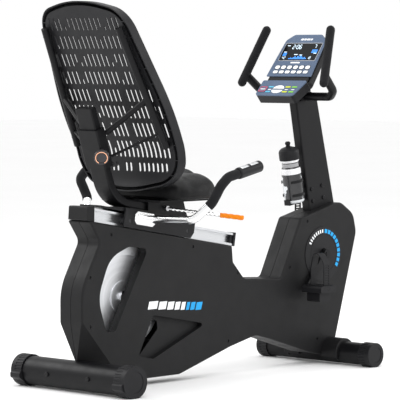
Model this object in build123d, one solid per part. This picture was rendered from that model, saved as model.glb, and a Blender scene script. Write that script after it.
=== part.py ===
"""Recumbent magnetic exercise bike: one STEP file for each sub-part, in millimetres.

Modelling frame: x forward from the rear stabiliser's axis, y to the rider's left, z up
from the floor.  Every part is moved by -ORIGIN_X on export, so that the origin of the
finished bike is at the centre of its footprint, on the floor.
"""
import math
import os

from build123d import *

# ---------------------------------------------------------------- driving dimensions
ORIGIN_X = 686.0          # centre of the overall length, from the rear stabiliser
WALL = 3.0                # moulded cover thickness
RUN_FIT = 0.05            # radial clearance of a running shaft
GAP = 0.3                 # clearance between neighbouring bodies

# stabilisers
WHEELBASE = 1283.0
REAR_TUBE_R = 52.0
REAR_AXIS_Z = 56.5
FRONT_TUBE_R = 42.0
FRONT_AXIS_Z = 46.0
TUBE_HALF = 255.0
FOOT_HALF = 290.0

# casing
CASE_HALF = 58.0
CASE_ROUND = 7.0
RAIL_LINE_Z = 606.5       # height of the casing's top line at x = 0
RAIL_SLOPE = 0.171        # fall per unit length, towards the front

# rail and seat carriage, in the rail's own sloping frame
RAIL_HALF = 35.0
RAIL_HIGH = 47.0
RAIL_START = 24.0
RAIL_END = 766.0
CARRIAGE_HALF = 60.0
CARRIAGE_TOP = 67.0
CARRIAGE_START = 172.0
CARRIAGE_END = 530.0
ROLLER_R = 15.2
ROLLER_U = (200.0, 495.0)
SHAFT_R = 6.0
LEVER_PIVOT = (385.0, 634.0)

# seat post and backrest
POST_HALF = 40.0
POST_DEPTH = 30.0
SLEEVE_HALF = 50.0
SLEEVE_DEPTH = 44.0
COLUMN_TOP = (39.5, 1001.0)
COLUMN_FOOT = (149.6, 670.0)

# drive; the front belt runs on the right of the frame, the rear belt beside the flywheel
FRONT_BELT_Y = (-43.0, -33.0)
REAR_BELT_Y = (14.0, 21.0)
CRANK = (1241.0, 424.0)
CRANK_R = 165.0
CRANK_ANGLE = 229.0       # of the right arm, from +x towards +z
PULLEY_R = 118.0
JACK = (1085.0, 250.0)
JACK_SMALL_R = 27.0
JACK_LARGE_R = 68.0
FLYWHEEL = (216.0, 320.0)
FLYWHEEL_R = 186.0
FLY_PULLEY_R = 24.0
BELT_T = 3.0

# console post, console and bottle
MAST_HALF = 20.0
BOTTLE_R = 38.0
CONSOLE_FACE = (1057.0, 1043.0)
CONSOLE_TILT = 36.4       # of the face, from vertical

RAIL_UPRIGHTS = ((425.0, 80.0), (690.0, 126.0))     # x, and the height of the foot
POST_BOLTS = ((1216, 672), (1276, 684), (1224, 626), (1284, 638))

SIDES = (("left", 1), ("right", -1))


# ---------------------------------------------------------------- helpers
def block(x0, x1, y0, y1, z0, z1):
    """Box between two corners."""
    corner = (Align.MIN, Align.MIN, Align.MIN)
    return Pos(x0, y0, z0) * Box(x1 - x0, y1 - y0, z1 - z0, align=corner)


def side_face(points, y, radii=None):
    """Flat face of an (x, z) outline at height y, with its corners rounded."""
    corners = [(x, y, z) for x, z in points]
    if radii is None:
        outline = Polyline(*corners, close=True)
    else:
        outline = FilletPolyline(*corners, radius=radii, close=True)
    return make_face(outline)


def side_prism(points, y0, y1, radii=None):
    """An (x, z) outline pulled along y."""
    return extrude(side_face(points, y0, radii), amount=y1 - y0, dir=(0, 1, 0))


def rod(a, b, r):
    """Round bar between two points."""
    start = Vector(*a)
    along = Vector(*b) - start
    plane = Plane(origin=start, z_dir=along.normalized())
    return extrude(plane * Circle(r), amount=along.length)


def bar_y(x, z, r, y0, y1):
    """Round bar along y."""
    return rod((x, y0, z), (x, y1, z), r)


def tube_along(points, radii, r):
    """Round bar along straight runs joined by arcs."""
    path = FilletPolyline(*points, radius=radii)
    first = Vector(*points[1]) - Vector(*points[0])
    plane = Plane(origin=points[0], z_dir=first.normalized())
    return sweep(plane * Circle(r), path=path)


def flipped(part, side):
    """The part itself for side +1, or its mirror image for side -1."""
    return part if side > 0 else mirror(part, about=Plane.XZ)


def hex_bolt(a, b, head_r, head_h, shank_r):
    """Domed bolt whose head starts at a, and whose shank points to b."""
    start = Vector(*a)
    along = (Vector(*b) - start).normalized()
    head = rod(start, start - along * head_h, head_r)
    head = fillet(head.edges().filter_by(GeomType.CIRCLE).sort_by(
        lambda e: (e.center() - start).length)[-1], head_h * 0.4)
    return head + rod(start, b, shank_r)


def write(name, *solids):
    """Export one node in the finished bike's frame."""
    placed = [Pos(-ORIGIN_X, 0, 0) * s for s in solids]
    pieces = [p for s in placed for p in s.solids()]
    shape = pieces[0] if len(pieces) == 1 else Compound(children=pieces)
    export_step(shape, f"parts/{name}.step")


def rail_top(x):
    """Height of the casing's top line at x."""
    return RAIL_LINE_Z - RAIL_SLOPE * x


RAIL_DIR = Vector(1, 0, -RAIL_SLOPE).normalized()
RAIL_UP = Vector(RAIL_SLOPE, 0, 1).normalized()
RAIL_FRAME = Plane(origin=(0, 0, RAIL_LINE_Z + 1.5), x_dir=RAIL_DIR, z_dir=RAIL_UP)


def rail_block(u0, u1, v0, v1, w0, w1):
    """Box in the rail's sloping frame: u along it, v to the left, w up from its base."""
    return RAIL_FRAME.location * block(u0, u1, v0, v1, w0, w1)


def rail_point(u, v, w):
    """Point of the rail's sloping frame, in the modelling frame."""
    return RAIL_FRAME.from_local_coords(Vector(u, v, w))


# ---------------------------------------------------------------- floor feet and frame
def stabiliser(x, z, r, bolts):
    """Round tube with the holes for its bolts."""
    tube = bar_y(x, z, r, -TUBE_HALF, TUBE_HALF) - bar_y(x, z, r - 2.5, -TUBE_HALF, TUBE_HALF)
    for start, end, head, high, shank in bolts:
        tube -= rod(start, end, shank)
    return tube


def rear_bolts():
    """Start, end, head radius, head height and shank radius of each rear bolt."""
    x = -REAR_TUBE_R
    return [((x, y, REAR_AXIS_Z), (x + 8, y, REAR_AXIS_Z), 9, 5, 4) for y in (-105, 105)]


def front_bolts():
    """The same for the front stabiliser, low on its rear side."""
    slope = math.radians(35)
    away = (-math.cos(slope), -math.sin(slope))
    ends = []
    for y in (-128, 128):
        near, far = (
            (WHEELBASE + r * away[0], y, FRONT_AXIS_Z + r * away[1])
            for r in (FRONT_TUBE_R, FRONT_TUBE_R - 8))
        ends.append((near, far, 6, 3, 3))
    return ends


def post_bolts():
    """The same for the two sides of the console post."""
    return [((x, s * MAST_HALF, z), (x, s * (MAST_HALF - 3), z), 8, 4, 4)
            for x, z in POST_BOLTS for s in (1, -1)]


def fluted_cap(x, z, r, y0, y1, flutes, depth):
    """Round end cap with a band of flutes next to the tube and a flat foot."""
    cap = bar_y(x, z, r, y0, y1)
    band = y0 + 0.62 * (y1 - y0)
    for i in range(flutes):
        turn = 2 * math.pi * (i + 0.5) / flutes
        if math.sin(turn) < -0.75:
            continue
        fx = x + (r + 0.9 * depth) * math.cos(turn)
        fz = z + (r + 0.9 * depth) * math.sin(turn)
        cap -= bar_y(fx, fz, 2.2 * depth, y0, band)
    return cap


def end_cap(x, z, tube_r, r, flutes, lobe):
    """Cap over the end of a stabiliser; the lobe raises the bike when it is turned."""
    y0 = TUBE_HALF - 18
    cap = fluted_cap(x, z, r, y0, FOOT_HALF, flutes, 1.6)
    if lobe:
        reach = side_prism([(x - 10, z - r + 3), (x - r - 7, z - 22), (x - r - 7, z - 6),
                            (x - 20, z + 22)], y0, FOOT_HALF - 4, [4, 9, 9, 4])
        cap += reach
    face = cap.faces().sort_by(Axis.Y)[-1]
    cap = fillet(face.edges().filter_by(GeomType.CIRCLE), 3) if not lobe else cap
    cap -= bar_y(x, z, tube_r + GAP, y0 - 1, TUBE_HALF + GAP)
    dish = bar_y(x, z, r * 0.66, FOOT_HALF - 1.5, FOOT_HALF + 1)
    cap -= dish
    return cap - block(x - 200, x + 200, 0, 400, -100, 0)


def main_frame():
    """Welded inner frame: low beam, rail uprights, flywheel arms, crank shell and mast."""
    half = 24.0

    def beam(a, b, deep, h=half):
        ax, az = a
        bx, bz = b
        length = math.hypot(bx - ax, bz - az)
        nx = -(bz - az) / length * deep / 2
        nz = (bx - ax) / length * deep / 2
        return side_prism([(ax + nx, az + nz), (bx + nx, bz + nz), (bx - nx, bz - nz),
                           (ax - nx, az - nz)], -h, h)

    frame = beam((40, 72), (452, 72), 50)
    frame += beam((440, 72), (892, 170), 40)
    frame += beam((880, 170), (1262, 96), 50)
    frame += beam((1262, 94), (1296, 440), 56, 19)
    frame += beam((1316, 400), (1274, 618), 92, 16)
    for x, foot_z in RAIL_UPRIGHTS:
        frame += block(x - 18, x + 18, -24, 11, foot_z, rail_top(x) + 10)
    arm_x = RAIL_UPRIGHTS[0][0]
    fx, fz = FLYWHEEL
    for y0, y1 in ((-22, -17), (24, 29)):
        frame += side_prism([(fx - 16, fz - 24), (fx + 120, fz - 30), (arm_x + 12, fz - 84),
                             (arm_x + 12, fz + 56), (fx + 120, fz + 30), (fx - 16, fz + 24)], y0, y1)
    for z in (fz - 84, fz + 34):
        frame += block(arm_x - 16, arm_x + 12, 10, 25, z, z + 22)
    for y0, y1 in ((-24, -14), (0, 10)):
        frame += block(JACK[0] - 26, JACK[0] + 26, y0, y1, 120, JACK[1] + 26)
    frame += block(CRANK[0] - 8, CRANK[0] + 60, -16, 16, CRANK[1] - 18, CRANK[1] + 18)
    frame += bar_y(*CRANK, 24, -26, 26)
    frame -= bar_y(*CRANK, 19, -60, 60)
    frame -= bar_y(*JACK, 14, -60, 60)
    frame -= bar_y(*FLYWHEEL, 6, -60, 60)
    frame -= bar_y(0, REAR_AXIS_Z, REAR_TUBE_R, -100, 100)
    frame -= bar_y(WHEELBASE, FRONT_AXIS_Z, FRONT_TUBE_R, -100, 100)
    frame -= rail_block(300, 800, -60, 60, 0, 80)
    brake = (FLYWHEEL[0] + 150, FLYWHEEL[1] - 175)
    frame += block(brake[0] - 9, brake[0] + 9, -24, -13, 90, brake[1] + 9)
    frame += block(brake[0] - 9, brake[0] + 9, 13, 24, 90, brake[1] + 9)
    frame -= bar_y(*brake, 4 + RUN_FIT, -60, 60)
    return frame


def frame_bolts():
    """Domed bolts that hold the stabilisers and the console post."""
    return [hex_bolt(*sizes) for sizes in rear_bolts() + front_bolts() + post_bolts()]


# ---------------------------------------------------------------- casing
CASE_OUTLINE = [
    (2, 606.2, 5), (733, 481.2, 8), (739, 420, 14), (800, 354, 40), (1001, 343, 24),
    (1112, 566, 20), (1342, 622, 55), (1420, 572, 60), (1438, 500, 60), (1318, 98, 6),
    (1283, 46, 3), (1232, 36, 4), (1175, 46, 40), (948, 116, 60), (864, 137, 60),
    (728, 106, 80), (456, 26, 30), (40, 25, 4), (-7, 98, 3), (-34, 240, 190),
    (-34, 366, 190), (56, 528, 30),
]


def case_prism(inset, y0, y1):
    """Casing outline, moved in by inset, pulled along y."""
    face = side_face([(x, z) for x, z, r in CASE_OUTLINE], y0, [r for x, z, r in CASE_OUTLINE])
    if inset:
        face = offset(face, amount=-inset, kind=Kind.INTERSECTION)
    return extrude(face, amount=y1 - y0, dir=(0, 1, 0))


def heel_cut(part, inset):
    """Slanted lower rear corner, where the casing narrows to meet the stabiliser."""
    corner = Vector(-24, CASE_HALF, 241)
    normal = (Vector(0.437, -0.814, 0.382)).normalized()
    plane = Plane(origin=corner + normal * inset, z_dir=normal)
    return split(part, bisect_by=plane, keep=Keep.TOP)


WINDOW = [(292, 492, 14), (128, 206, 16), (84, 206, 22), (44, 330, 130), (102, 470, 110),
          (200, 507, 60)]
SCOOP = [(318, 253, 10), (590, 202, 8), (318, 94, 12), (243, 109, 10)]
SCOOP_SLOT = [(314, 240, 8), (356, 228, 8), (360, 198, 8), (268, 110, 8), (252, 122, 6)]
SCOOP_DEPTH = 20.0
WELL_INNER = {"left": 30.0, "right": 23.0}      # depth that the window's wall reaches to


def shaped(points, y0, y1, grow=0.0):
    """Prism of an (x, z, corner radius) outline, optionally grown."""
    face = side_face([(x, z) for x, z, r in points], y0, [r for x, z, r in points])
    if grow:
        face = offset(face, amount=grow)
    return extrude(face, amount=y1 - y0, dir=(0, 1, 0))


CASE_SCREWS = [(108, 552), (5, 407), (5, 232), (523, 489), (760, 379), (709, 128),
               (1149, 553), (1048, 382), (1208, 98)]


def case_half(well_inner):
    """Left half shell, with its window, scoop, screw recesses and passages."""
    outer = case_prism(0, 0, CASE_HALF)
    rim = outer.faces().sort_by(Axis.Y)[-1].edges()
    outer = fillet(rim, CASE_ROUND)
    outer = heel_cut(outer, 0)
    inner = heel_cut(case_prism(WALL, -1, CASE_HALF - WALL), WALL)
    shell = outer - inner
    shell += shaped(WINDOW, well_inner, CASE_HALF - 1, WALL) & outer
    shell -= shaped(WINDOW, -1, CASE_HALF + 1)
    tray = shaped(SCOOP, CASE_HALF - SCOOP_DEPTH - WALL, CASE_HALF - 1, WALL)
    shell += tray & outer
    shell -= shaped(SCOOP, CASE_HALF - SCOOP_DEPTH, CASE_HALF + 1)
    shell -= shaped(SCOOP_SLOT, 0, CASE_HALF + 1)
    for x, z in CASE_SCREWS:
        shell -= bar_y(x, z, 6, CASE_HALF - WALL - 1, CASE_HALF + 1)
    shell -= bar_y(*CRANK, 30, 0, 100)
    shell -= bar_y(0, REAR_AXIS_Z, REAR_TUBE_R + 1.5, -1, 100)
    shell -= bar_y(WHEELBASE, FRONT_AXIS_Z, FRONT_TUBE_R + 1.5, -1, 100)
    shell -= block(30, 118, -1, 26, 40, 100)
    for x, foot_z in RAIL_UPRIGHTS:
        shell -= block(x - 20, x + 20, -1, 26, rail_top(x) - 20, rail_top(x) + 20)
    shell -= mast_outline_prism(-1, MAST_HALF + 1, 1.0, 560)
    shell -= case_prism(0, -1, 0.9) - case_prism(1.5, -1, 0.9)
    return shell


def case_screws():
    """Countersunk screws down the side recesses of both halves."""
    screws = []
    for x, z in CASE_SCREWS:
        for name, side in SIDES:
            y = side * (CASE_HALF - WALL)
            head = rod((x, y - side * 2, z), (x, y + side * 0.4, z), 5.4)
            screws.append(head + rod((x, y - side * 7, z), (x, y, z), 2.2))
    return screws


def foot_shroud(side):
    """Saddle that closes the casing's side over the front stabiliser."""
    inner_r = FRONT_TUBE_R + GAP
    outer_r = 54.0
    y0 = CASE_HALF + GAP
    y1 = 136.0
    ring = bar_y(WHEELBASE, FRONT_AXIS_Z, outer_r, y0, y1)
    ring = fillet(ring.faces().sort_by(Axis.Y)[-1].edges(), 5)
    ring -= bar_y(WHEELBASE, FRONT_AXIS_Z, inner_r, y0 - 1, y1 + 1)
    ring -= block(WHEELBASE - 80, WHEELBASE + 80, y0 - 1, y1 + 1, -60, FRONT_AXIS_Z - 18)
    return flipped(ring, side)


def crank_cover(side):
    """Round cover over the crank's opening, with a dished ring."""
    y0 = CASE_HALF
    cover = bar_y(*CRANK, 105, y0, y0 + 2.1)
    cover -= bar_y(*CRANK, 74.6, y0 + 1.3, y0 + 3) - bar_y(*CRANK, 73.4, y0, y0 + 4)
    cover -= bar_y(*CRANK, 21, y0 - 1, y0 + 4)
    return flipped(cover, side)


# ---------------------------------------------------------------- rail
def seat_rail():
    rail = rail_block(RAIL_START, RAIL_END, -RAIL_HALF, RAIL_HALF, 0, RAIL_HIGH)
    for side in (1, -1):
        v = sorted((side * 20, side * (RAIL_HALF + 1)))
        rail -= rail_block(RAIL_START - 1, RAIL_END + 1, *v, 8, RAIL_HIGH - 8)
    return rail


def rail_front_cap():
    cap = rail_block(RAIL_END, RAIL_END + 12, -38, 38, -1, RAIL_HIGH + 3)
    front = cap.faces().sort_by(Axis.X)[-1]
    cap = fillet(front.edges(), 4)
    plug = rail_block(RAIL_END - 14, RAIL_END, 21, 33, 10, RAIL_HIGH - 10)
    return cap + plug + mirror(plug, about=Plane.XZ)


def rail_rear_cover():
    cover = side_prism([(-1, rail_top(0) + 0.5), (3, 656), (38, 655), (37, rail_top(37) + 0.5)],
                       -47, 47, [3, 6, 6, 3])
    return cover - rail_block(RAIL_START - 1, 120, -RAIL_HALF - GAP, RAIL_HALF + GAP,
                              -20, RAIL_HIGH + GAP)


# ---------------------------------------------------------------- console post
def mast_edge(z, top_x, foot_x):
    """x of a post edge at height z, from its values at z = 1004 and z = 631."""
    return top_x + (foot_x - top_x) * (1004 - z) / 373


def mast_outline_prism(y0, y1, grow, z0, z1=1012.0):
    rear = [(mast_edge(z, 1128, 1199) - grow, z) for z in (z0, z1)]
    front = [(mast_edge(z, 1252, 1345) + grow, z) for z in (z1, z0)]
    return side_prism(rear + front, y0, y1)


def console_post():
    post = mast_outline_prism(-MAST_HALF, MAST_HALF, 0, 566)
    long_edges = [e for e in post.edges() if abs(e.tangent_at(0.5).Y) < 0.1 and e.length > 300]
    post = fillet(long_edges, 6)
    post -= mast_outline_prism(-MAST_HALF + 3, MAST_HALF - 3, -3, 540, 1006)
    for start, end, head, high, shank in post_bolts():
        post -= rod(start, end, shank)
    return post


BAR_R = 16.0
BAR_RADII = [40, 40]


def bar_path(side):
    """Centre line of half the upper handlebar, from the post to a grip."""
    s = side
    return [(1186, 0, 1029), (1176, s * 150, 1029), (1150, s * 186, 1052), (1089, s * 199.7, 1106)]


def upper_grip_line(side):
    return (1069, side * 210, 1081), (1162, side * 163, 1288)


def upper_handlebar():
    bar = None
    for name, side in SIDES:
        half = tube_along(bar_path(side), BAR_RADII, BAR_R)
        low, high = upper_grip_line(side)
        half += rod(low, high, 11)
        bar = half if bar is None else bar + half
    clamp = block(1156, 1216, -19, 19, 1012, 1047)
    return bar + fillet(clamp.edges().filter_by(Axis.Y), 5)


def upper_grip(side):
    """Foam sleeve with closed round ends."""
    low, high = (Vector(*p) for p in upper_grip_line(side))
    along = (high - low).normalized()
    ends = (low + along * 1.5, high - along * 6.5)
    sleeve = rod(*ends, 16.5)
    for end in ends:
        sleeve += Pos(*end) * Sphere(16.5)
    sleeve -= rod(low, high, 11)
    return sleeve - tube_along(bar_path(side), BAR_RADII, BAR_R)


# ---------------------------------------------------------------- console
TILT = math.radians(CONSOLE_TILT)
FACE_UP = (math.sin(TILT), 0, math.cos(TILT))
FACE_OUT = (-math.cos(TILT), 0, math.sin(TILT))
FACE = Plane(origin=(CONSOLE_FACE[0], 0, CONSOLE_FACE[1]), x_dir=(0, -1, 0), z_dir=FACE_OUT)
LEDGE_B = 78.0             # height on the face of the ledge between its two panels
FACE_OUTLINE = [(-114, LEDGE_B), (-102, 249), (-70, 276), (70, 276), (102, 249), (114, LEDGE_B)]
FACE_RADII = [4, 24, 24, 24, 24, 4]
BODY_OUTLINE = [(-112, 40), (-102, 249), (-70, 276), (70, 276), (102, 249), (112, 40)]
BODY_RADII = [22, 24, 24, 24, 24, 22]
KEY_TILT = math.radians(50.0)
KEY_FACE = Plane(origin=(1020, 0, 1034), x_dir=(0, -1, 0),
                 z_dir=(-math.cos(KEY_TILT), 0, math.sin(KEY_TILT)))
KEY_OUTLINE = [(-95, 0), (-112, 86), (112, 86), (95, 0)]
KEY_RADII = [14, 6, 6, 14]
BODY_DEEP = 46.0
PLATE_T = 3.0


def face_prism(points, radii, c0, c1, grow=0.0, plane=FACE):
    """Outline on one of the console's panels, pulled between two heights over it."""
    outline = FilletPolyline(*[(a, b, 0) for a, b in points], radius=radii, close=True)
    face = make_face(outline)
    if grow:
        face = offset(face, amount=grow)
    return plane.location * (Pos(0, 0, c0) * extrude(face, amount=c1 - c0, dir=(0, 0, 1)))


def face_pad(a, b, wide, high, r, c0, c1, plane=FACE):
    """Rounded pad centred at (a, b) on one of the console's panels."""
    flat = RectangleRounded(wide, high, r)
    return plane.location * (Pos(a, b, c0) * extrude(flat, amount=c1 - c0))


def half_round(b, up, grow, c0, c1):
    """Half-moon key: flat side at b, round side up or down."""
    span = 27.0 + grow
    disc = Pos(0, b, c0) * extrude(Ellipse(span, 18.0 + grow), amount=c1 - c0)
    keep = Pos(0, b + up * (20 - grow), c0 - 1) * Box(80, 40, c1 - c0 + 2,
                                                     align=(Align.CENTER, Align.CENTER, Align.MIN))
    return KEY_FACE.location * (disc & keep)


STOP_KEY = (-76, 33, 38, 32, 4)
UP_KEY_B = 37.0
DOWN_KEY_B = 29.0


def console_housing():
    """Moulded body behind both panels, hollow, with the neck that stands on the bar's clamp."""
    upper = face_prism(BODY_OUTLINE, BODY_RADII, -BODY_DEEP, -PLATE_T)
    back = upper.faces().sort_by(lambda f: f.center().X)[-1]
    upper = chamfer(back.edges(), 11)
    lower = face_prism(KEY_OUTLINE, KEY_RADII, -38, -PLATE_T, plane=KEY_FACE)
    body = upper + lower
    body -= face_prism(BODY_OUTLINE, BODY_RADII, -BODY_DEEP + 12, -PLATE_T - 4, -4)
    body -= face_prism(KEY_OUTLINE, KEY_RADII, -34, -PLATE_T - 4, -4, KEY_FACE)
    neck = side_prism([(1160, 1047.3), (1212, 1047.3), (1214, 1187), (1160, 1114)], -17, 17)
    return body + neck


def console_faceplate():
    """Upper panel with the display's opening."""
    plate = face_prism(FACE_OUTLINE, FACE_RADII, -PLATE_T, 0)
    return plate - face_pad(0, 194, 184, 80, 3, -1.6, 10)


def key_panel():
    """Lower panel, less steep, with the openings of the three moving keys."""
    panel = face_prism(KEY_OUTLINE, KEY_RADII, -PLATE_T, 1.5, plane=KEY_FACE)
    panel -= face_pad(*STOP_KEY, -10, 20, KEY_FACE)
    panel -= half_round(UP_KEY_B, 1, GAP, -10, 20)
    return panel - half_round(DOWN_KEY_B, -1, GAP, -10, 20)


def keypad_overlay():
    """Dome keys of the printed membrane: two rows of six, and side pairs below."""
    pads = []
    for row_b in (119.5, 97.0):
        for i in range(6):
            pads.append(face_pad(-77 + i * 30.8, row_b, 23, 14, 6.5, 0, 1.4))
    for a in (-43, 43, 76):
        for b in (47, 19):
            pads.append(face_pad(a, b, 24, 9, 3, 1.5, 2.6, KEY_FACE))
    return pads


def stop_key():
    a, b, wide, high, r = STOP_KEY
    return face_pad(a, b, wide - 2 * GAP, high - 2 * GAP, r, -2, 3.5, KEY_FACE)


# ---------------------------------------------------------------- bottle
BOTTLE_FOOT = Vector(1141, 0, 625)
BOTTLE_UP = Vector(-0.178, 0, 0.984).normalized()
BOTTLE = Plane(origin=BOTTLE_FOOT, x_dir=(BOTTLE_UP.Z, 0, -BOTTLE_UP.X), z_dir=BOTTLE_UP)


def lathe(plane, points):
    """Solid of revolution about a plane's normal, from (radius, height) points."""
    outline = Polyline(*[(r, 0, h) for r, h in points], close=True)
    return plane.location * revolve(make_face(outline), axis=Axis.Z)


def bottle_body():
    outer = [(0, 0), (34, 0), (38, 5), (38, 104), (38, 128), (35.5, 134), (32, 140), (32, 156),
             (36, 162), (36, 166), (31, 166), (31, 180), (0, 180)]
    cavity = [(0, 2), (33, 2), (36, 7), (36, 103), (36, 127), (33.5, 133), (30, 139), (30, 157),
              (30, 181), (0, 181)]
    return lathe(BOTTLE, outer) - lathe(BOTTLE, cavity)


def bottle_lid():
    outer = [(0, 166.3), (38.5, 166.3), (39, 168), (39, 196), (37, 203), (28, 211), (13, 216),
             (9, 217), (9, 221), (0, 221)]
    cavity = [(0, 166), (31.2, 166), (31.2, 182), (29, 192), (5.3, 196), (5.3, 230), (0, 230)]
    lid = lathe(BOTTLE, outer) - lathe(BOTTLE, cavity)
    for i in range(36):
        turn = i * 10.0
        rib = Rot(0, 0, turn) * Pos(39.6, 0, 168) * Cylinder(
            1.3, 22, align=(Align.CENTER, Align.CENTER, Align.MIN))
        lid -= BOTTLE.location * rib
    return lid


def bottle_nozzle():
    return lathe(BOTTLE, [(0, 205), (5.0, 205), (5.0, 222), (8.5, 223), (10.5, 228), (10.5, 232),
                          (7, 236), (0, 236)])


def bottle_cage():
    """Bent holder: back plate on the post, two side arms and a floor lip."""
    plate = BOTTLE.location * block(41, 45, -14, 14, -8, 96)
    floor = BOTTLE.location * block(-40, 45, -14, 14, -5, -0.4)
    lip = BOTTLE.location * block(-44, -39.5, -14, 14, -5, 16)
    cage = plate + floor + lip
    for low in (26, 78):
        ring = BOTTLE.location * (Pos(0, 0, low) * (
            Cylinder(42.5, 9, align=(Align.CENTER, Align.CENTER, Align.MIN))
            - Pos(0, 0, -1) * Cylinder(39.2, 11, align=(Align.CENTER, Align.CENTER, Align.MIN))))
        ring -= BOTTLE.location * block(-60, -22, -24, 24, low - 1, low + 10)
        cage += ring
    for h in (14, 58):
        at = BOTTLE_FOOT + BOTTLE_UP * h
        cage += rod((at.X + 44, 0, at.Z), (at.X + 80, 0, at.Z), 5)
    return cage - mast_outline_prism(-30, 30, 0, 540)


# ---------------------------------------------------------------- drive
def drive_ring(centre, r, belt_y, bore):
    """Belt pulley with low side flanges, lightened when it is large."""
    y0, y1 = belt_y
    wheel = bar_y(*centre, r, y0 - 1, y1 + 1)
    for a, b in ((y0 - 1.6, y0 - 0.4), (y1 + 0.4, y1 + 1.6)):
        wheel += bar_y(*centre, r + 2, a, b)
    if r > 60:
        for i in range(5):
            turn = 2 * math.pi * i / 5
            mid = 0.58 * r
            hole = (centre[0] + mid * math.cos(turn), centre[1] + mid * math.sin(turn))
            wheel -= bar_y(*hole, 0.2 * r, y0 - 3, y1 + 3)
    return wheel - bar_y(*centre, bore, y0 - 5, y1 + 5) if bore else wheel


def belt(a, ra, b, rb, belt_y):
    """Closed belt round two pulleys, a hair clear of both."""
    def loop(grow):
        return make_hull((Pos(*a) * Circle(ra + grow)).edges() + (Pos(*b) * Circle(rb + grow)).edges())
    y0, y1 = belt_y
    flat = loop(0.05 + BELT_T) - loop(0.05)
    solid = extrude(flat, amount=y1 - y0)
    upright = Plane(origin=(0, y1, 0), x_dir=(1, 0, 0), z_dir=(0, -1, 0))
    return upright.location * solid


def crank_axle():
    return bar_y(*CRANK, 8.5, -82, 82) + bar_y(*CRANK, 11, 28, 40)


def jackshaft():
    """Shaft with the small and the large pulley fixed at its two ends."""
    shaft = bar_y(*JACK, 6, -47, 26)
    shaft += drive_ring(JACK, JACK_SMALL_R, FRONT_BELT_Y, 0)
    return shaft + drive_ring(JACK, JACK_LARGE_R, REAR_BELT_Y, 0)


def flywheel():
    """Heavy rim, thin web with a raised hub ring, and the small belt pulley."""
    wheel = bar_y(*FLYWHEEL, FLYWHEEL_R, -12, 12)
    wheel -= bar_y(*FLYWHEEL, FLYWHEEL_R - 34, -13, -4)
    wheel -= bar_y(*FLYWHEEL, FLYWHEEL_R - 34, 4, 13)
    wheel += bar_y(*FLYWHEEL, 60, -8, 8) - bar_y(*FLYWHEEL, 55, -9, -4.5)
    wheel += bar_y(*FLYWHEEL, 20, -15, 14)
    wheel += drive_ring(FLYWHEEL, FLY_PULLEY_R, REAR_BELT_Y, 0)
    return wheel - bar_y(*FLYWHEEL, 6 + RUN_FIT, -60, 60)


def flywheel_axle():
    axle = bar_y(*FLYWHEEL, 6, -27, 34)
    for y0, y1 in ((-27, -22), (29, 34)):
        axle += bar_y(*FLYWHEEL, 11, y0, y1)
    return axle


def bearings():
    """Crank and jackshaft bearing cartridges."""
    rings = []
    for y0, y1 in ((-26, -16), (16, 26)):
        rings.append(bar_y(*CRANK, 19, y0, y1) - bar_y(*CRANK, 8.5 + RUN_FIT, y0 - 1, y1 + 1))
    for y0, y1 in ((-24, -14), (0, 10)):
        rings.append(bar_y(*JACK, 14, y0, y1) - bar_y(*JACK, 6 + RUN_FIT, y0 - 1, y1 + 1))
    return rings


def magnet_bracket():
    """Brake shoe that carries magnets along the flywheel's rim, on a pivot pin."""
    pivot = (FLYWHEEL[0] + 150, FLYWHEEL[1] - 175)
    shoe = bar_y(*FLYWHEEL, FLYWHEEL_R + 13, -10, 10) - bar_y(*FLYWHEEL, FLYWHEEL_R + 4, -11, 11)
    wedge = side_prism([FLYWHEEL, (FLYWHEEL[0] - 90, FLYWHEEL[1] - 230),
                        (FLYWHEEL[0] + 145, FLYWHEEL[1] - 215)], -20, 20)
    shoe &= wedge
    arm = rod((pivot[0], 0, pivot[1]), (FLYWHEEL[0] + 104, 0, FLYWHEEL[1] - 158), 5)
    arm -= bar_y(*FLYWHEEL, FLYWHEEL_R + 5, -11, 11)
    return shoe + arm + bar_y(*pivot, 4, -26, 26) + bar_y(*pivot, 9, -12, 12)


def crank_end(side):
    """Pedal axis of one arm, as (x, z)."""
    turn = math.radians(CRANK_ANGLE if side < 0 else CRANK_ANGLE - 180)
    return CRANK[0] + CRANK_R * math.cos(turn), CRANK[1] + CRANK_R * math.sin(turn)


def crank_arm(side):
    """Forged arm with a tapered web, and the pedal's spindle."""
    ex, ez = crank_end(side)
    y0, y1 = 63.0, 77.0
    hub = bar_y(*CRANK, 18, y0, y1 + 3)
    eye = bar_y(ex, ez, 12.5, y0, y1)
    across = Vector(-(ez - CRANK[1]), ex - CRANK[0]) / CRANK_R
    web = side_prism([(CRANK[0] + across.X * 15, CRANK[1] + across.Y * 15),
                      (ex + across.X * 11, ez + across.Y * 11),
                      (ex - across.X * 11, ez - across.Y * 11),
                      (CRANK[0] - across.X * 15, CRANK[1] - across.Y * 15)], y0 + 1, y1 - 1)
    arm = hub + eye + web + bar_y(ex, ez, 7, y1 - 1, PEDAL_OUT)
    arm = arm - bar_y(*CRANK, 8.5, y0 - 2, 82)
    return flipped(arm, side)


PEDAL_IN = 84.0
PEDAL_OUT = 182.0
STRAP_Y = (106.0, 171.0)
STRAP_FOOT = 9.0


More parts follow.
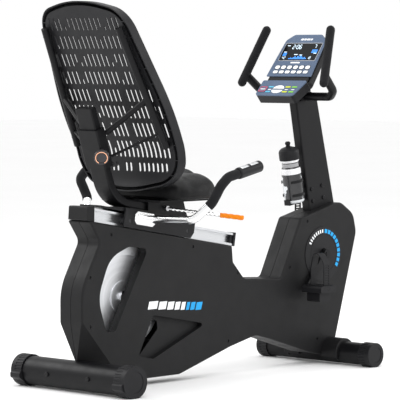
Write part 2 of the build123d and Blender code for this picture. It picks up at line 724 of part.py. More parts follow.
def pedal(side):
    """Platform with grip ribs and a counterweight that keeps it level."""
    ex, ez = crank_end(side)
    deck = side_prism([(ex - 44, ez - 12), (ex - 44, ez + 8), (ex - 36, ez + 14), (ex + 36, ez + 14),
                       (ex + 44, ez + 8), (ex + 44, ez - 12)], PEDAL_IN, PEDAL_OUT,
                      [5, 5, 5, 5, 5, 5])
    for x in (-24, 24):
        deck -= block(ex + x - 11, ex + x + 11, PEDAL_IN + 9, PEDAL_OUT - 9, ez + 4, ez + 20)
    for i in range(5):
        y = PEDAL_IN + 17 + i * 15.5
        deck += block(ex - 36, ex - 12, y - 1.5, y + 1.5, ez + 2, ez + 13)
        deck += block(ex + 12, ex + 36, y - 1.5, y + 1.5, ez + 2, ez + 13)
    weight = block(ex - 32, ex + 32, PEDAL_IN + 16, PEDAL_OUT - 18, ez - 47, ez - 11)
    edges = weight.edges().filter_by(Axis.Y).sort_by(Axis.Z)[:2]
    deck += fillet(edges, 8)
    for y in STRAP_Y:
        deck -= block(ex - 17.5, ex + 17.5, y - 1.8, y + 1.8, ez + STRAP_FOOT - 0.2, ez + 20)
    deck -= bar_y(ex, ez, 7 + RUN_FIT, PEDAL_IN - 1, PEDAL_OUT + 1)
    return flipped(deck, side)


def strap_line(ez):
    """(y, z) centre line of the foot strap, from the inner to the outer slot of the deck."""
    inner, outer = STRAP_Y
    return [(inner, ez + STRAP_FOOT), (inner, ez + 78), (inner + 18, ez + 158), (outer, ez + 100),
            (outer, ez + STRAP_FOOT)]


def pedal_strap(side):
    """Rubber strap over the foot, with a row of adjusting slots outside."""
    ex, ez = crank_end(side)
    line = FilletPolyline(*[(ex, y, z) for y, z in strap_line(ez)], radius=[40, 18, 40])
    start = Plane(origin=(ex, *strap_line(ez)[0]), x_dir=(1, 0, 0), z_dir=(0, 0, 1))
    strap = sweep(start * Rectangle(34, 3), path=line)
    for i in range(8):
        z = ez + 22 + i * 9.5
        strap -= block(ex - 10, ex + 10, STRAP_Y[1] - 4, STRAP_Y[1] + 4, z - 2, z + 2)
    return flipped(strap, side)


# ---------------------------------------------------------------- seat
def seat_carriage():
    """Saddle channel over the rail, with the rear plate and roller bores."""
    body = rail_block(CARRIAGE_START, CARRIAGE_END, -CARRIAGE_HALF, CARRIAGE_HALF, -1, CARRIAGE_TOP)
    body -= rail_block(CARRIAGE_START - 1, CARRIAGE_END + 1, -53, 53, -2, CARRIAGE_TOP - 7)
    corner = RAIL_FRAME.location * side_prism([(CARRIAGE_END - 16, -4), (CARRIAGE_END + 2, 24),
                                               (CARRIAGE_END + 2, -4)], -80, 80)
    body -= corner
    body += rail_block(52, CARRIAGE_START + 4, -52, 52, CARRIAGE_TOP - 13, CARRIAGE_TOP - 7)
    body += rail_block(CARRIAGE_START - 8, CARRIAGE_START + 4, -52, 52, CARRIAGE_TOP - 13,
                       CARRIAGE_TOP)
    for u in ROLLER_U:
        at = rail_point(u, 0, RAIL_HIGH / 2)
        body -= bar_y(at.X, at.Z, SHAFT_R + RUN_FIT, -80, 80)
    return body


def rollers(u):
    """One roller on each side of the rail, each with its stub shaft."""
    at = rail_point(u, 0, RAIL_HIGH / 2)
    wheels = []
    for side in (1, -1):
        wheel = bar_y(at.X, at.Z, ROLLER_R, side * 22, side * 45)
        wheel += bar_y(at.X, at.Z, SHAFT_R, side * 45, side * 59)
        wheels.append(wheel)
    return wheels


POST_TOP = Vector(COLUMN_TOP[0], 0, COLUMN_TOP[1])
POST_FOOT = Vector(COLUMN_FOOT[0], 0, COLUMN_FOOT[1])
COLUMN = Plane(origin=POST_TOP, x_dir=(0, 1, 0), z_dir=(POST_FOOT - POST_TOP).normalized())


def seat_post():
    """Flat tube that comes down behind the seat and bends forward under it."""
    end_x = 474.0
    end_z = COLUMN_FOOT[1] - RAIL_SLOPE * (end_x - COLUMN_FOOT[0])
    path = FilletPolyline(POST_TOP, POST_FOOT, (end_x, 0, end_z), radius=120)
    outer = COLUMN * RectangleRounded(2 * POST_HALF, POST_DEPTH, 5)
    inner = COLUMN * RectangleRounded(2 * POST_HALF - 5, POST_DEPTH - 5, 3)
    post = sweep(outer, path=path) - sweep(inner, path=path)
    cap = extrude(COLUMN * RectangleRounded(2 * POST_HALF, POST_DEPTH, 5), amount=4)
    post += cap
    for i in range(5):
        start = COLUMN.from_local_coords(Vector(0, 0, 108 + i * 18.0))
        post -= rod(start - Vector(40, 0, 0), start, 4)
    return post


def backrest_sleeve():
    """Sliding sleeve round the post, with the angled boss for its knob."""
    def ring(half, depth, r, a0, a1):
        flat = COLUMN * RectangleRounded(2 * half, depth, r)
        return extrude((Pos(*(COLUMN.z_dir * a0)) * flat), amount=a1 - a0)
    sleeve = ring(SLEEVE_HALF, SLEEVE_DEPTH, 6, 79, 222)
    boss = rod(KNOB_AT + KNOB_DIR * -14, KNOB_AT + KNOB_DIR * 5, 13)
    sleeve += boss
    sleeve -= ring(POST_HALF + GAP, POST_DEPTH + 2 * GAP, 5, 60, 240)
    return sleeve - rod(KNOB_AT + KNOB_DIR * -9, KNOB_AT + KNOB_DIR * 20, 5 + RUN_FIT)


KNOB_DIR = Vector(-0.70, -0.67, -0.24).normalized()
KNOB_AT = COLUMN.from_local_coords(Vector(-SLEEVE_HALF + 1.5, 0, 171)) + Vector(-21, 0, -7)


def height_knob():
    """Round pull knob with a dished face and a plain stem."""
    disc = rod(KNOB_AT + KNOB_DIR * 7, KNOB_AT + KNOB_DIR * 27, 27)
    disc = fillet(disc.edges().filter_by(GeomType.CIRCLE), 5)
    disc -= rod(KNOB_AT + KNOB_DIR * 25.5, KNOB_AT + KNOB_DIR * 40, 19)
    return disc + rod(KNOB_AT + KNOB_DIR * -8, KNOB_AT + KNOB_DIR * 8, 5)


def seat_bracket():
    """Pressed bracket between the carriage and the cushion, round the seat post."""
    parts = block(262, 545, -150, 150, 662, 669)
    for side in (1, -1):
        y = sorted((side * 45, side * 51))
        cheek = side_prism([(300, rail_point(300, 0, CARRIAGE_TOP).Z + 0.2), (300, 664), (478, 664),
                            (504, rail_point(508, 0, CARRIAGE_TOP).Z + 1)], *y)
        parts += cheek
    parts -= rail_block(100, 700, -90, 90, -10, CARRIAGE_TOP)
    parts -= block(250, 308, -41, 41, 650, 680)
    underside = RAIL_FRAME.to_local_coords(POST_FOOT).Z - POST_DEPTH / 2
    parts += rail_block(200, 470, -51, 51, CARRIAGE_TOP, underside)
    parts -= bar_y(*LEVER_PIVOT, 6 + RUN_FIT, -70, -40)
    return parts


LEVER_TIP = Vector(575, -255, 600)
LEVER_START = Vector(LEVER_PIVOT[0], -62, LEVER_PIVOT[1])


def release_lever():
    """Pivot pin through the bracket's cheek, and the rod that reaches to the grip."""
    pin = bar_y(*LEVER_PIVOT, 6, -66, -44) + bar_y(*LEVER_PIVOT, 9, -66, -51.3)
    return pin + rod(LEVER_START, LEVER_TIP, 5)


def lever_grip():
    along = (LEVER_TIP - LEVER_START).normalized()
    grip = rod(LEVER_TIP - along * 82, LEVER_TIP + along * 6, 9)
    grip = fillet(grip.edges().filter_by(GeomType.CIRCLE), 4)
    return grip - rod(LEVER_START, LEVER_TIP, 5)


def seat_cushion():
    outline = [(274, -212, 40), (530, -212, 55), (560, -110, 40), (605, -60, 40), (605, 60, 40),
               (560, 110, 40), (530, 212, 55), (274, 212, 40)]
    path = FilletPolyline(*[(x, y, 669) for x, y, r in outline], radius=[r for x, y, r in outline],
                          close=True)
    pad = extrude(make_face(path), amount=104, dir=(0, 0, 1))
    pad = fillet(pad.faces().sort_by(Axis.Z)[-1].edges(), 20)
    return pad - back_slab(-40, SHELL_DEPTH + 1)


# ---------------------------------------------------------------- backrest
SHELL_DEPTH = 36.0
SHELL_SKIN = 5.0
BACK_LINE = [(-9, 1380), (240, 848), (258, 762), (232, 680)]
BACK_BEND = 140.0
BACK_OUTLINE = [(0, 1389, 500), (207, 1341, 95), (271, 990, 700), (251, 738, 120), (0, 690, 500)]


def beside(points, distance):
    """The same run of straight lines, moved forward at right angles by a distance."""
    moved = []
    ways = [(Vector(*b) - Vector(*a)).normalized() for a, b in zip(points, points[1:])]
    for i, (x, z) in enumerate(points):
        before = ways[max(i - 1, 0)]
        after = ways[min(i, len(ways) - 1)]
        normal = (Vector(-before.Y, before.X) + Vector(-after.Y, after.X)).normalized()
        reach = distance / normal.dot(Vector(-after.Y, after.X))
        moved.append((x + normal.X * reach, 0, z + normal.Y * reach))
    return moved


def back_slab(t0, t1):
    """Slab that follows the backrest's side line, between two distances in front of it."""
    near = beside(BACK_LINE, t0)
    far = beside(BACK_LINE, t1)
    curves = FilletPolyline(*near, radius=BACK_BEND + t0) + FilletPolyline(*far, radius=BACK_BEND + t1)
    ends = Line(near[0], far[0]) + Line(near[-1], far[-1])
    return extrude(make_face(curves + ends), amount=300, dir=(0, 1, 0), both=True)


def back_outline(shrink, x0=-100, x1=400):
    """Front-view outline of the shell, pulled along x."""
    right = [(-y, z, r) for y, z, r in reversed(BACK_OUTLINE[1:-1])]
    corners = BACK_OUTLINE + right
    path = FilletPolyline(*[(x0, y, z) for y, z, r in corners], radius=[r for y, z, r in corners],
                          close=True)
    face = make_face(path)
    if shrink:
        face = offset(face, amount=-shrink)
    return extrude(face, amount=x1 - x0, dir=(1, 0, 0))


SLOT_PITCH = 22.5
BAND_HALF = 10.0
# top and bottom of each row of slots, the plain band's |y| at both, and the plain margin outside
SLOT_ROWS = [(1317, 1272, 115, 80, 36), (1254, 1207, 47, 44, 36), (1191, 1145, 60, 105, 36),
             (1129, 1082, 96, 88, 36), (1066, 1021, 86, 78, 36), (1008, 962, 74, 65, 27),
             (947, 896, 60, 52, 27), (882, 822, 48, 44, 36), (804, 771, 42, 40, 40)]


def half_width(z):
    """Half width of the shell at a height, between its outline's points."""
    for (y0, z0, r0), (y1, z1, r1) in zip(BACK_OUTLINE, BACK_OUTLINE[1:]):
        if z1 <= z <= z0:
            return y0 + (y1 - y0) * (z0 - z) / (z0 - z1)
    return 0.0


def open_spans(a, top, low, band_top, band_low):
    """The heights that a row's plain band leaves open at a distance a from the middle."""
    fall = (band_low - band_top) / (top - low)
    crossing = sorted(top - (a + d - band_top) / fall for d in (-BAND_HALF, BAND_HALF))
    spans = ((low, min(top, crossing[0])), (max(low, crossing[1]), top))
    return [(z0, z1) for z0, z1 in spans if z1 - z0 > 14]


def back_slots():
    """Upright slots in rows, cut short along the plain bands and left out near the rim."""
    slots = []
    for row, (top, low, band_top, band_low, margin) in enumerate(SLOT_ROWS):
        wide = 6.6 + 0.7 * row
        limit = min(half_width(top), half_width(low)) - margin
        for i in range(-12, 12):
            y = (i + 0.5) * SLOT_PITCH
            if abs(y) > limit:
                continue
            for z0, z1 in open_spans(abs(y), top, low, band_top, band_low):
                flat = Plane(origin=(-100, y, (z0 + z1) / 2), x_dir=(0, 1, 0), z_dir=(1, 0, 0))
                slots.append(extrude(flat * SlotOverall(z1 - z0, wide, rotation=90), amount=500))
    return slots


def backrest_shell():
    """Slotted panel with a deep double rim that is open to the rear."""
    blank = back_slab(0, SHELL_DEPTH) & back_outline(0)
    front_pocket = back_slab(SHELL_SKIN, SHELL_DEPTH + 30) & back_outline(20)
    groove = back_slab(-10, SHELL_DEPTH - 6) & (back_outline(4.5) - back_outline(16))
    groove -= [block(-100, 400, -300, 300, z, z + 3) for z in range(760, 1330, 54)]
    shell = blank - front_pocket - groove
    return shell - back_slots()


def back_bars(side):
    """Upright bar behind the shell, and the two struts that tie it to the sleeve."""
    s = side
    top = Vector(20, s * 189, 1280)
    foot = Vector(217, s * 228, 860)
    bar = rod(top, foot, 13.5)
    bar += rod((97, s * 46, 912), top + (foot - top) * 0.59, 10.5)
    bar += rod((123, s * 46, 830), top + (foot - top) * 0.87, 5)
    for t in (0.07, 0.93):
        spot = top + (foot - top) * t
        bar += rod(spot, spot + Vector(0, s * 16, 0), 5)
    bar -= back_slab(-0.2, 60)
    flat = COLUMN * RectangleRounded(2 * SLEEVE_HALF, SLEEVE_DEPTH, 6)
    bar -= extrude(Pos(*(COLUMN.z_dir * 60)) * flat, amount=180)
    return bar


# ---------------------------------------------------------------- side handlebars
def side_path(side):
    s = side
    return [(303, s * 66, 598), (306, s * 272, 604), (350, s * 320, 664), (352, s * 362, 728),
            (386, s * 366, 757), (541, s * 366, 790)]


SIDE_RADII = [40, 60, 30, 40]
FOAM_FROM = 0.8
GRIP_FROM = 0.3


def between(a, b, t):
    return tuple(p + (q - p) * t for p, q in zip(a, b))


def side_bar(side):
    """Welded plate and bent tube beside the seat."""
    tube = tube_along(side_path(side), SIDE_RADII, 15)
    v = sorted((side * CARRIAGE_HALF, side * 67))
    plate = rail_block(216, 318, *v, 15, 61)
    plate = chamfer(plate.edges().filter_by(Axis.Y), 11)
    bolt = rail_point(232, 0, 40)
    head = bar_y(bolt.X, bolt.Z, 8, side * 66, side * 71)
    return tube + plate + head


def side_foam(side):
    """Bent foam sleeve over the tube."""
    p = side_path(side)
    first = between(p[1], p[2], FOAM_FROM)
    last = between(p[4], p[5], GRIP_FROM)
    sleeve = tube_along([first, p[2], p[3], p[4], last], SIDE_RADII[1:], 17.5)
    return sleeve - tube_along(side_path(side), SIDE_RADII, 15)


def pulse_grip(side):
    """Hard grip with the two hand-pulse plates on its top."""
    p = side_path(side)
    first = Vector(*between(p[4], p[5], GRIP_FROM))
    last = Vector(*p[5])
    along = (last - first).normalized()
    grip = rod(first + along * 0.3, last + along * 8, 21)
    grip = fillet(grip.edges().filter_by(GeomType.CIRCLE), 6)
    return grip - tube_along(side_path(side), SIDE_RADII, 15)


# ---------------------------------------------------------------- export
def main():
    os.makedirs("parts", exist_ok=True)
    write("main_frame", main_frame())
    write("rear_stabiliser", stabiliser(0, REAR_AXIS_Z, REAR_TUBE_R, rear_bolts()))
    write("front_stabiliser", stabiliser(WHEELBASE, FRONT_AXIS_Z, FRONT_TUBE_R, front_bolts()))
    rear_cap = end_cap(0, REAR_AXIS_Z, REAR_TUBE_R, 57.5, 30, True)
    front_cap = end_cap(WHEELBASE, FRONT_AXIS_Z, FRONT_TUBE_R, 46.9, 26, False)
    for name, side in SIDES:
        write(f"{name}_leveller", flipped(rear_cap, side))
    write("front_foot_caps", front_cap, flipped(front_cap, -1))
    write("frame_bolts", *frame_bolts())
    for name, side in SIDES:
        write(f"{name}_case", flipped(case_half(WELL_INNER[name]), side))
    write("case_screws", *case_screws())
    write("foot_shrouds", foot_shroud(1), foot_shroud(-1))
    write("crank_covers", crank_cover(1), crank_cover(-1))
    write("seat_rail", seat_rail())
    write("rail_front_cap", rail_front_cap())
    write("rail_rear_cover", rail_rear_cover())
    write("console_post", console_post())
    write("upper_handlebar", upper_handlebar())
    write("upper_grips", upper_grip(1), upper_grip(-1))
    write("console_housing", console_housing())
    write("console_faceplate", console_faceplate(), key_panel())
    write("display_window", face_pad(0, 194, 183.4, 79.4, 2.8, -1.6, -0.2))
    write("keypad_overlay", *keypad_overlay())
    write("up_key", half_round(UP_KEY_B, 1, 0, -2, 3.5))
    write("down_key", half_round(DOWN_KEY_B, -1, 0, -2, 3.5))
    write("stop_key", stop_key())
    write("bottle_cage", bottle_cage())
    write("bottle_body", bottle_body())
    write("bottle_lid", bottle_lid())
    write("bottle_nozzle", bottle_nozzle())
    write("crank_axle", crank_axle())
    write("drive_pulley", drive_ring(CRANK, PULLEY_R, FRONT_BELT_Y, 8.5))
    write("front_belt", belt(CRANK, PULLEY_R, JACK, JACK_SMALL_R, FRONT_BELT_Y))
    write("jackshaft", jackshaft())
    write("rear_belt", belt(JACK, JACK_LARGE_R, FLYWHEEL, FLY_PULLEY_R, REAR_BELT_Y))
    write("flywheel", flywheel())
    write("flywheel_axle", flywheel_axle())
    write("magnet_bracket", magnet_bracket())
    write("bearings", *bearings())
    for name, side in SIDES:
        write(f"{name}_crank_arm", crank_arm(side))
        write(f"{name}_pedal", pedal(side))
        write(f"{name}_pedal_strap", pedal_strap(side))
    write("seat_carriage", seat_carriage())
    write("rear_rollers", *rollers(ROLLER_U[0]))
    write("front_rollers", *rollers(ROLLER_U[1]))
    write("release_lever", release_lever())
    write("lever_grip", lever_grip())
    write("seat_post", seat_post())
    write("backrest_sleeve", backrest_sleeve())
    write("height_knob", height_knob())
    write("seat_bracket", seat_bracket())
    write("seat_cushion", seat_cushion())
    write("backrest_shell", backrest_shell())
    write("back_bars", back_bars(1), back_bars(-1))
    for name, side in SIDES:
        write(f"{name}_side_bar", side_bar(side))
    write("side_foam_grips", side_foam(1), side_foam(-1))
    write("pulse_grips", pulse_grip(1), pulse_grip(-1))


main()
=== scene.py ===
"""Looks of the recumbent exercise bike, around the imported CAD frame.  Lengths are in metres."""
import math

import bmesh
import bpy
from mathutils import Matrix, Vector, noise


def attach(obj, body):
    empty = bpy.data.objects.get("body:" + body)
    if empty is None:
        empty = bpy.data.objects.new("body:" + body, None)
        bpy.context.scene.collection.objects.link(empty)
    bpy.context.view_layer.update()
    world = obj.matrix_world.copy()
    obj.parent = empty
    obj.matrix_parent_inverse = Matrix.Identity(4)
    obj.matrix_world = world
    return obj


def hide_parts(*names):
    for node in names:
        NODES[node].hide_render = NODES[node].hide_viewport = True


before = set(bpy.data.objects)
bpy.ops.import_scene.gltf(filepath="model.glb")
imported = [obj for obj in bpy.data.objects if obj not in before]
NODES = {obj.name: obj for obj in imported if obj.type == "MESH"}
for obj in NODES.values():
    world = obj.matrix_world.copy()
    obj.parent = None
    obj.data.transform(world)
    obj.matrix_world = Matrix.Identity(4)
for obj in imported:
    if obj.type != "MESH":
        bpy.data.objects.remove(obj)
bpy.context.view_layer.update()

# ---------------------------------------------------------------- places shared with the CAD model
ORIGIN_X = 686.0          # mm, from the rear stabiliser's axis to the row frame's origin
CASE_HALF = 58.0
CRANK = (1241.0, 424.0)
FLYWHEEL = (216.0, 320.0)
BOTTLE_FOOT = (1141.0, 0.0, 625.0)
SIDES = (("left", 1), ("right", -1))


def at(x, y, z):
    """Point in the row frame, in metres, from the CAD model's own millimetres."""
    return Vector(((x - ORIGIN_X) / 1000, y / 1000, z / 1000))


# ---------------------------------------------------------------- materials
PLASTIC_SHINE = 0.18      # specular level of the dull black surfaces
RAIL_SLOPE = 0.171        # fall of the seat rail, per unit of its length
BOTTLE_LEAN = (-0.178, 0.984)              # x and z of the bottle's own axis
BOTTLE_TURN = 0.038       # metres of pattern for each radian round the bottle
BOTTLE_PATCHES = (0.012, 0.104)            # heights between which the pale patches lie
BOTTLE_BANDS = ((0.012, 34), (0.112, 228), (0.134, 38), (0.140, 150), (0.1535, 30),
                (0.157, 232))              # height in metres, and the grey that starts there
MIX_INPUTS, MIX_OUTPUT = (0, 6, 7), 2      # a colour Mix node's factor, A, B and result


class Material:
    """A Principled material whose pattern nodes are added one call at a time."""

    def __init__(self, name, color, rough, metal=0.0, **sockets):
        self.mat = bpy.data.materials.new(name)
        self.mat.use_nodes = True
        self.tree = self.mat.node_tree
        self.shader = self.tree.nodes["Principled BSDF"]
        self.shader.inputs["Base Color"].default_value = (*color, 1)
        self.shader.inputs["Roughness"].default_value = rough
        self.shader.inputs["Metallic"].default_value = metal
        for socket, value in sockets.items():
            self.shader.inputs[socket.replace("_", " ")].default_value = value
        self.color = color
        self.place = self.node("ShaderNodeTexCoord").outputs["Object"]
        self.normal = None

    def feed(self, socket, value):
        """Link an output to a socket, or set the socket's own value."""
        if isinstance(value, bpy.types.NodeSocket):
            self.tree.links.new(value, socket)
        elif isinstance(value, tuple) and len(value) == 3:
            socket.default_value = (*value, 1)
        else:
            socket.default_value = value

    def node(self, kind, **inputs):
        made = self.tree.nodes.new(kind)
        for name, value in inputs.items():
            self.feed(made.inputs[name.replace("_", " ")], value)
        return made

    def math(self, operation, a, b=0.0):
        made = self.tree.nodes.new("ShaderNodeMath")
        made.operation = operation
        self.feed(made.inputs[0], a)
        self.feed(made.inputs[1], b)
        return made.outputs[0]

    def vector_math(self, operation, a, b):
        made = self.tree.nodes.new("ShaderNodeVectorMath")
        made.operation = operation
        self.tree.links.new(a, made.inputs[0])
        made.inputs[1].default_value = b
        return made

    def stretched(self, scale, turn=(0, 0, 0)):
        """Object coordinates, turned and then scaled."""
        mapping = self.node("ShaderNodeMapping", Vector=self.place)
        mapping.inputs["Scale"].default_value = scale
        mapping.inputs["Rotation"].default_value = turn
        return mapping.outputs["Vector"]

    def noise(self, scale, detail=3.0, rough=0.55, where=None):
        return self.node("ShaderNodeTexNoise", Vector=where or self.place, Scale=scale,
                         Detail=detail, Roughness=rough).outputs["Fac"]

    def cells(self, scale, feature="F1"):
        made = self.node("ShaderNodeTexVoronoi", Vector=self.place, Scale=scale)
        made.feature = feature
        return made.outputs["Distance"]

    def spread(self, value, low, high, out_low=0.0, out_high=1.0):
        return self.node("ShaderNodeMapRange", Value=value, From_Min=low, From_Max=high,
                         To_Min=out_low, To_Max=out_high).outputs["Result"]

    def mix(self, factor, first, second):
        made = self.tree.nodes.new("ShaderNodeMix")
        made.data_type = "RGBA"
        for index, value in zip(MIX_INPUTS, (factor, first, second)):
            self.feed(made.inputs[index], value)
        return made.outputs[MIX_OUTPUT]

    def bump(self, height, strength, distance):
        made = self.node("ShaderNodeBump", Height=height, Strength=strength, Distance=distance)
        if self.normal is not None:
            self.tree.links.new(self.normal, made.inputs["Normal"])
        self.normal = made.outputs["Normal"]
        self.tree.links.new(self.normal, self.shader.inputs["Normal"])
        return self

    def mottle(self, scale, amount, where=None):
        """Slow change of lightness over the surface."""
        fac = self.spread(self.noise(scale, 4.0, where=where), 0.3, 0.7)
        dark = tuple(c * (1 - amount) for c in self.color)
        light = tuple(min(1.0, c * (1 + amount)) for c in self.color)
        self.tree.links.new(self.mix(fac, dark, light), self.shader.inputs["Base Color"])
        return self

    def paint(self, socket):
        self.tree.links.new(socket, self.shader.inputs["Base Color"])
        return self

    def rough(self, scale, low, high, where=None):
        """Roughness that wanders between two values."""
        fac = self.spread(self.noise(scale, 4.0, where=where), 0.3, 0.7, low, high)
        self.tree.links.new(fac, self.shader.inputs["Roughness"])
        return self


def moulded(name, color, rough, grain=900.0, depth=0.25):
    """Moulded plastic with a fine spark-eroded grain."""
    m = Material(name, color, rough, Specular_IOR_Level=PLASTIC_SHINE)
    m.mottle(7.0, 0.10).rough(22.0, rough - 0.05, rough + 0.07)
    m.bump(m.cells(grain), depth, 0.0004)
    return m.bump(m.noise(14.0, 2.0), 0.04, 0.004)


def powder_coat(name, color, rough):
    """Paint with the orange-peel of powder coat."""
    m = Material(name, color, rough, Specular_IOR_Level=PLASTIC_SHINE, Coat_Weight=0.02,
                 Coat_Roughness=0.25)
    m.mottle(9.0, 0.10).rough(30.0, rough - 0.05, rough + 0.06)
    return m.bump(m.noise(420.0, 3.0), 0.18, 0.0006)


def brushed(name, color, rough, stretch, turn=(0, 0, 0)):
    """Metal with a fine grain along one way."""
    m = Material(name, color, rough, 1.0)
    lines = m.stretched(stretch, turn)
    m.mottle(1.0, 0.06, lines).rough(1.0, rough - 0.07, rough + 0.10, lines)
    return m.bump(m.noise(1.0, 2.0, where=lines), 0.10, 0.0003)


def rubber(name, color, rough=0.75, pore=700.0):
    m = Material(name, color, rough, Specular_IOR_Level=PLASTIC_SHINE)
    m.mottle(11.0, 0.14).rough(35.0, rough - 0.07, rough + 0.06)
    return m.bump(m.noise(pore, 4.0, 0.7), 0.30, 0.0008)


def foam(name, color):
    """Closed-cell foam: small open pores and a soft nap."""
    m = Material(name, color, 0.88, Specular_IOR_Level=PLASTIC_SHINE, Sheen_Weight=0.05,
                 Sheen_Roughness=0.5)
    m.mottle(16.0, 0.20)
    m.bump(m.cells(520.0), 0.55, 0.0012)
    return m.bump(m.noise(60.0, 3.0), 0.10, 0.002)


def turned_metal(name, color, centre):
    """Machined disc: fine rings about an axis along y, and dark scale between them."""
    m = Material(name, color, 0.42, 1.0)
    split = m.node("ShaderNodeSeparateXYZ", Vector=m.place)
    dx = m.math("SUBTRACT", split.outputs["X"], centre.x)
    dz = m.math("SUBTRACT", split.outputs["Z"], centre.z)
    square = m.math("ADD", m.math("MULTIPLY", dx, dx), m.math("MULTIPLY", dz, dz))
    radius = m.math("SQRT", square)
    along = m.node("ShaderNodeCombineXYZ", X=radius).outputs["Vector"]
    rings = m.noise(900.0, 2.0, where=along)
    m.mottle(60.0, 0.10, along)
    m.tree.links.new(m.spread(rings, 0.3, 0.7, 0.36, 0.52), m.shader.inputs["Roughness"])
    return m.bump(rings, 0.12, 0.0004)


def leather(name, color):
    """Soft-touch cover: small pebbled cells, broken by finer creases."""
    m = Material(name, color, 0.46, Specular_IOR_Level=PLASTIC_SHINE, Sheen_Weight=0.015,
                 Sheen_Roughness=0.45)
    m.mottle(12.0, 0.14).rough(26.0, 0.40, 0.55)
    m.bump(m.cells(430.0, feature="DISTANCE_TO_EDGE"), 0.45, 0.0009)
    return m.bump(m.noise(1300.0, 2.0), 0.12, 0.0003)


def rgb(r, g, b):
    """Linear colour from 0-255 screen values."""
    def linear(c):
        c /= 255
        return c / 12.92 if c <= 0.04045 else ((c + 0.055) / 1.055) ** 2.4
    return linear(r), linear(g), linear(b)


DEEP = rgb(17, 17, 19)
RAIL_TURN = (0, -math.atan(RAIL_SLOPE), 0)

CASE = moulded("case_plastic", rgb(24, 24, 25), 0.48, grain=1100.0, depth=0.30)
TRIM = moulded("trim_plastic", rgb(27, 27, 29), 0.42, grain=1500.0, depth=0.18)
SHELL = moulded("shell_plastic", rgb(30, 30, 32), 0.44, grain=1000.0, depth=0.30)
PAINT = powder_coat("tube_paint", rgb(14, 14, 16), 0.42)
STEEL_BLACK = powder_coat("black_steel", DEEP, 0.30)
CARRIAGE = powder_coat("carriage_paint", rgb(24, 24, 26), 0.36)
ALUMINIUM = brushed("rail_aluminium", (0.62, 0.63, 0.645), 0.32, (6.0, 900.0, 900.0),
                    RAIL_TURN)
ROLLER = moulded("roller_plastic", rgb(52, 52, 54), 0.35)
CHROME = Material("bar_chrome", (0.90, 0.905, 0.91), 0.22, 1.0)
CHROME.mottle(20.0, 0.02).rough(45.0, 0.17, 0.28)
CHROME.bump(CHROME.noise(38.0, 2.0), 0.015, 0.002)
SHAFT = brushed("shaft_steel", (0.62, 0.62, 0.64), 0.26, (300.0, 20.0, 300.0))
IRON = turned_metal("flywheel_metal", (0.72, 0.73, 0.75), at(FLYWHEEL[0], 0, FLYWHEEL[1]))
FOAM = foam("foam_sleeve", rgb(24, 24, 26))
LEATHER = leather("cushion_cover", rgb(9, 9, 10))
RUBBER = rubber("strap_rubber", rgb(25, 25, 27), 0.55)
BELT = rubber("belt_rubber", rgb(24, 24, 24), 0.7)
GRIP = moulded("grip_plastic", rgb(27, 27, 29), 0.36, grain=1600.0, depth=0.12)
PEDAL = moulded("pedal_plastic", rgb(26, 26, 28), 0.46, grain=900.0, depth=0.35)
FACE = moulded("faceplate_print", rgb(84, 99, 122), 0.50, grain=1800.0, depth=0.10)
KNOB = moulded("knob_plastic", rgb(62, 60, 62), 0.24, grain=1700.0, depth=0.08)
COPPER = brushed("knob_ring", (0.80, 0.42, 0.27), 0.22, (400.0, 400.0, 400.0))
ORANGE = moulded("lever_orange", rgb(238, 132, 10), 0.34, grain=700.0, depth=0.25)
WHITE = moulded("print_white", rgb(236, 238, 240), 0.45, grain=1800.0, depth=0.08)
KEY_WHITE = moulded("key_white", rgb(232, 233, 232), 0.38, grain=1800.0, depth=0.10)
BLUE = moulded("print_blue", rgb(38, 158, 222), 0.42, grain=1800.0, depth=0.08)
PALE_BLUE = moulded("print_pale_blue", rgb(92, 176, 206), 0.42, grain=1800.0, depth=0.08)
YELLOW = moulded("print_yellow", rgb(200, 206, 40), 0.42, grain=1800.0, depth=0.08)
GREEN = moulded("print_green", rgb(128, 196, 66), 0.42, grain=1800.0, depth=0.08)
RED = moulded("print_red", rgb(214, 62, 88), 0.42, grain=1800.0, depth=0.08)
SENSOR = brushed("sensor_plate", (0.60, 0.61, 0.62), 0.30, (30.0, 700.0, 700.0))
# black of the display window, used also for the painted shade round the keys and in the bolt and
# screw sockets
DISPLAY = Material("display_window", rgb(8, 9, 12), 0.16, Specular_IOR_Level=0.25)
DISPLAY.mottle(30.0, 0.25).rough(60.0, 0.12, 0.22)
DISPLAY.bump(DISPLAY.noise(25.0, 2.0), 0.02, 0.002)
LIT_WHITE = Material("digits_white", rgb(205, 225, 240), 0.4, Emission_Strength=0.9)
LIT_BLUE = Material("digits_blue", rgb(50, 130, 220), 0.4, Emission_Strength=0.9)
for lit in (LIT_WHITE, LIT_BLUE):
    lit.shader.inputs["Emission Color"].default_value = (*lit.color, 1)
    lit.mottle(200.0, 0.10)


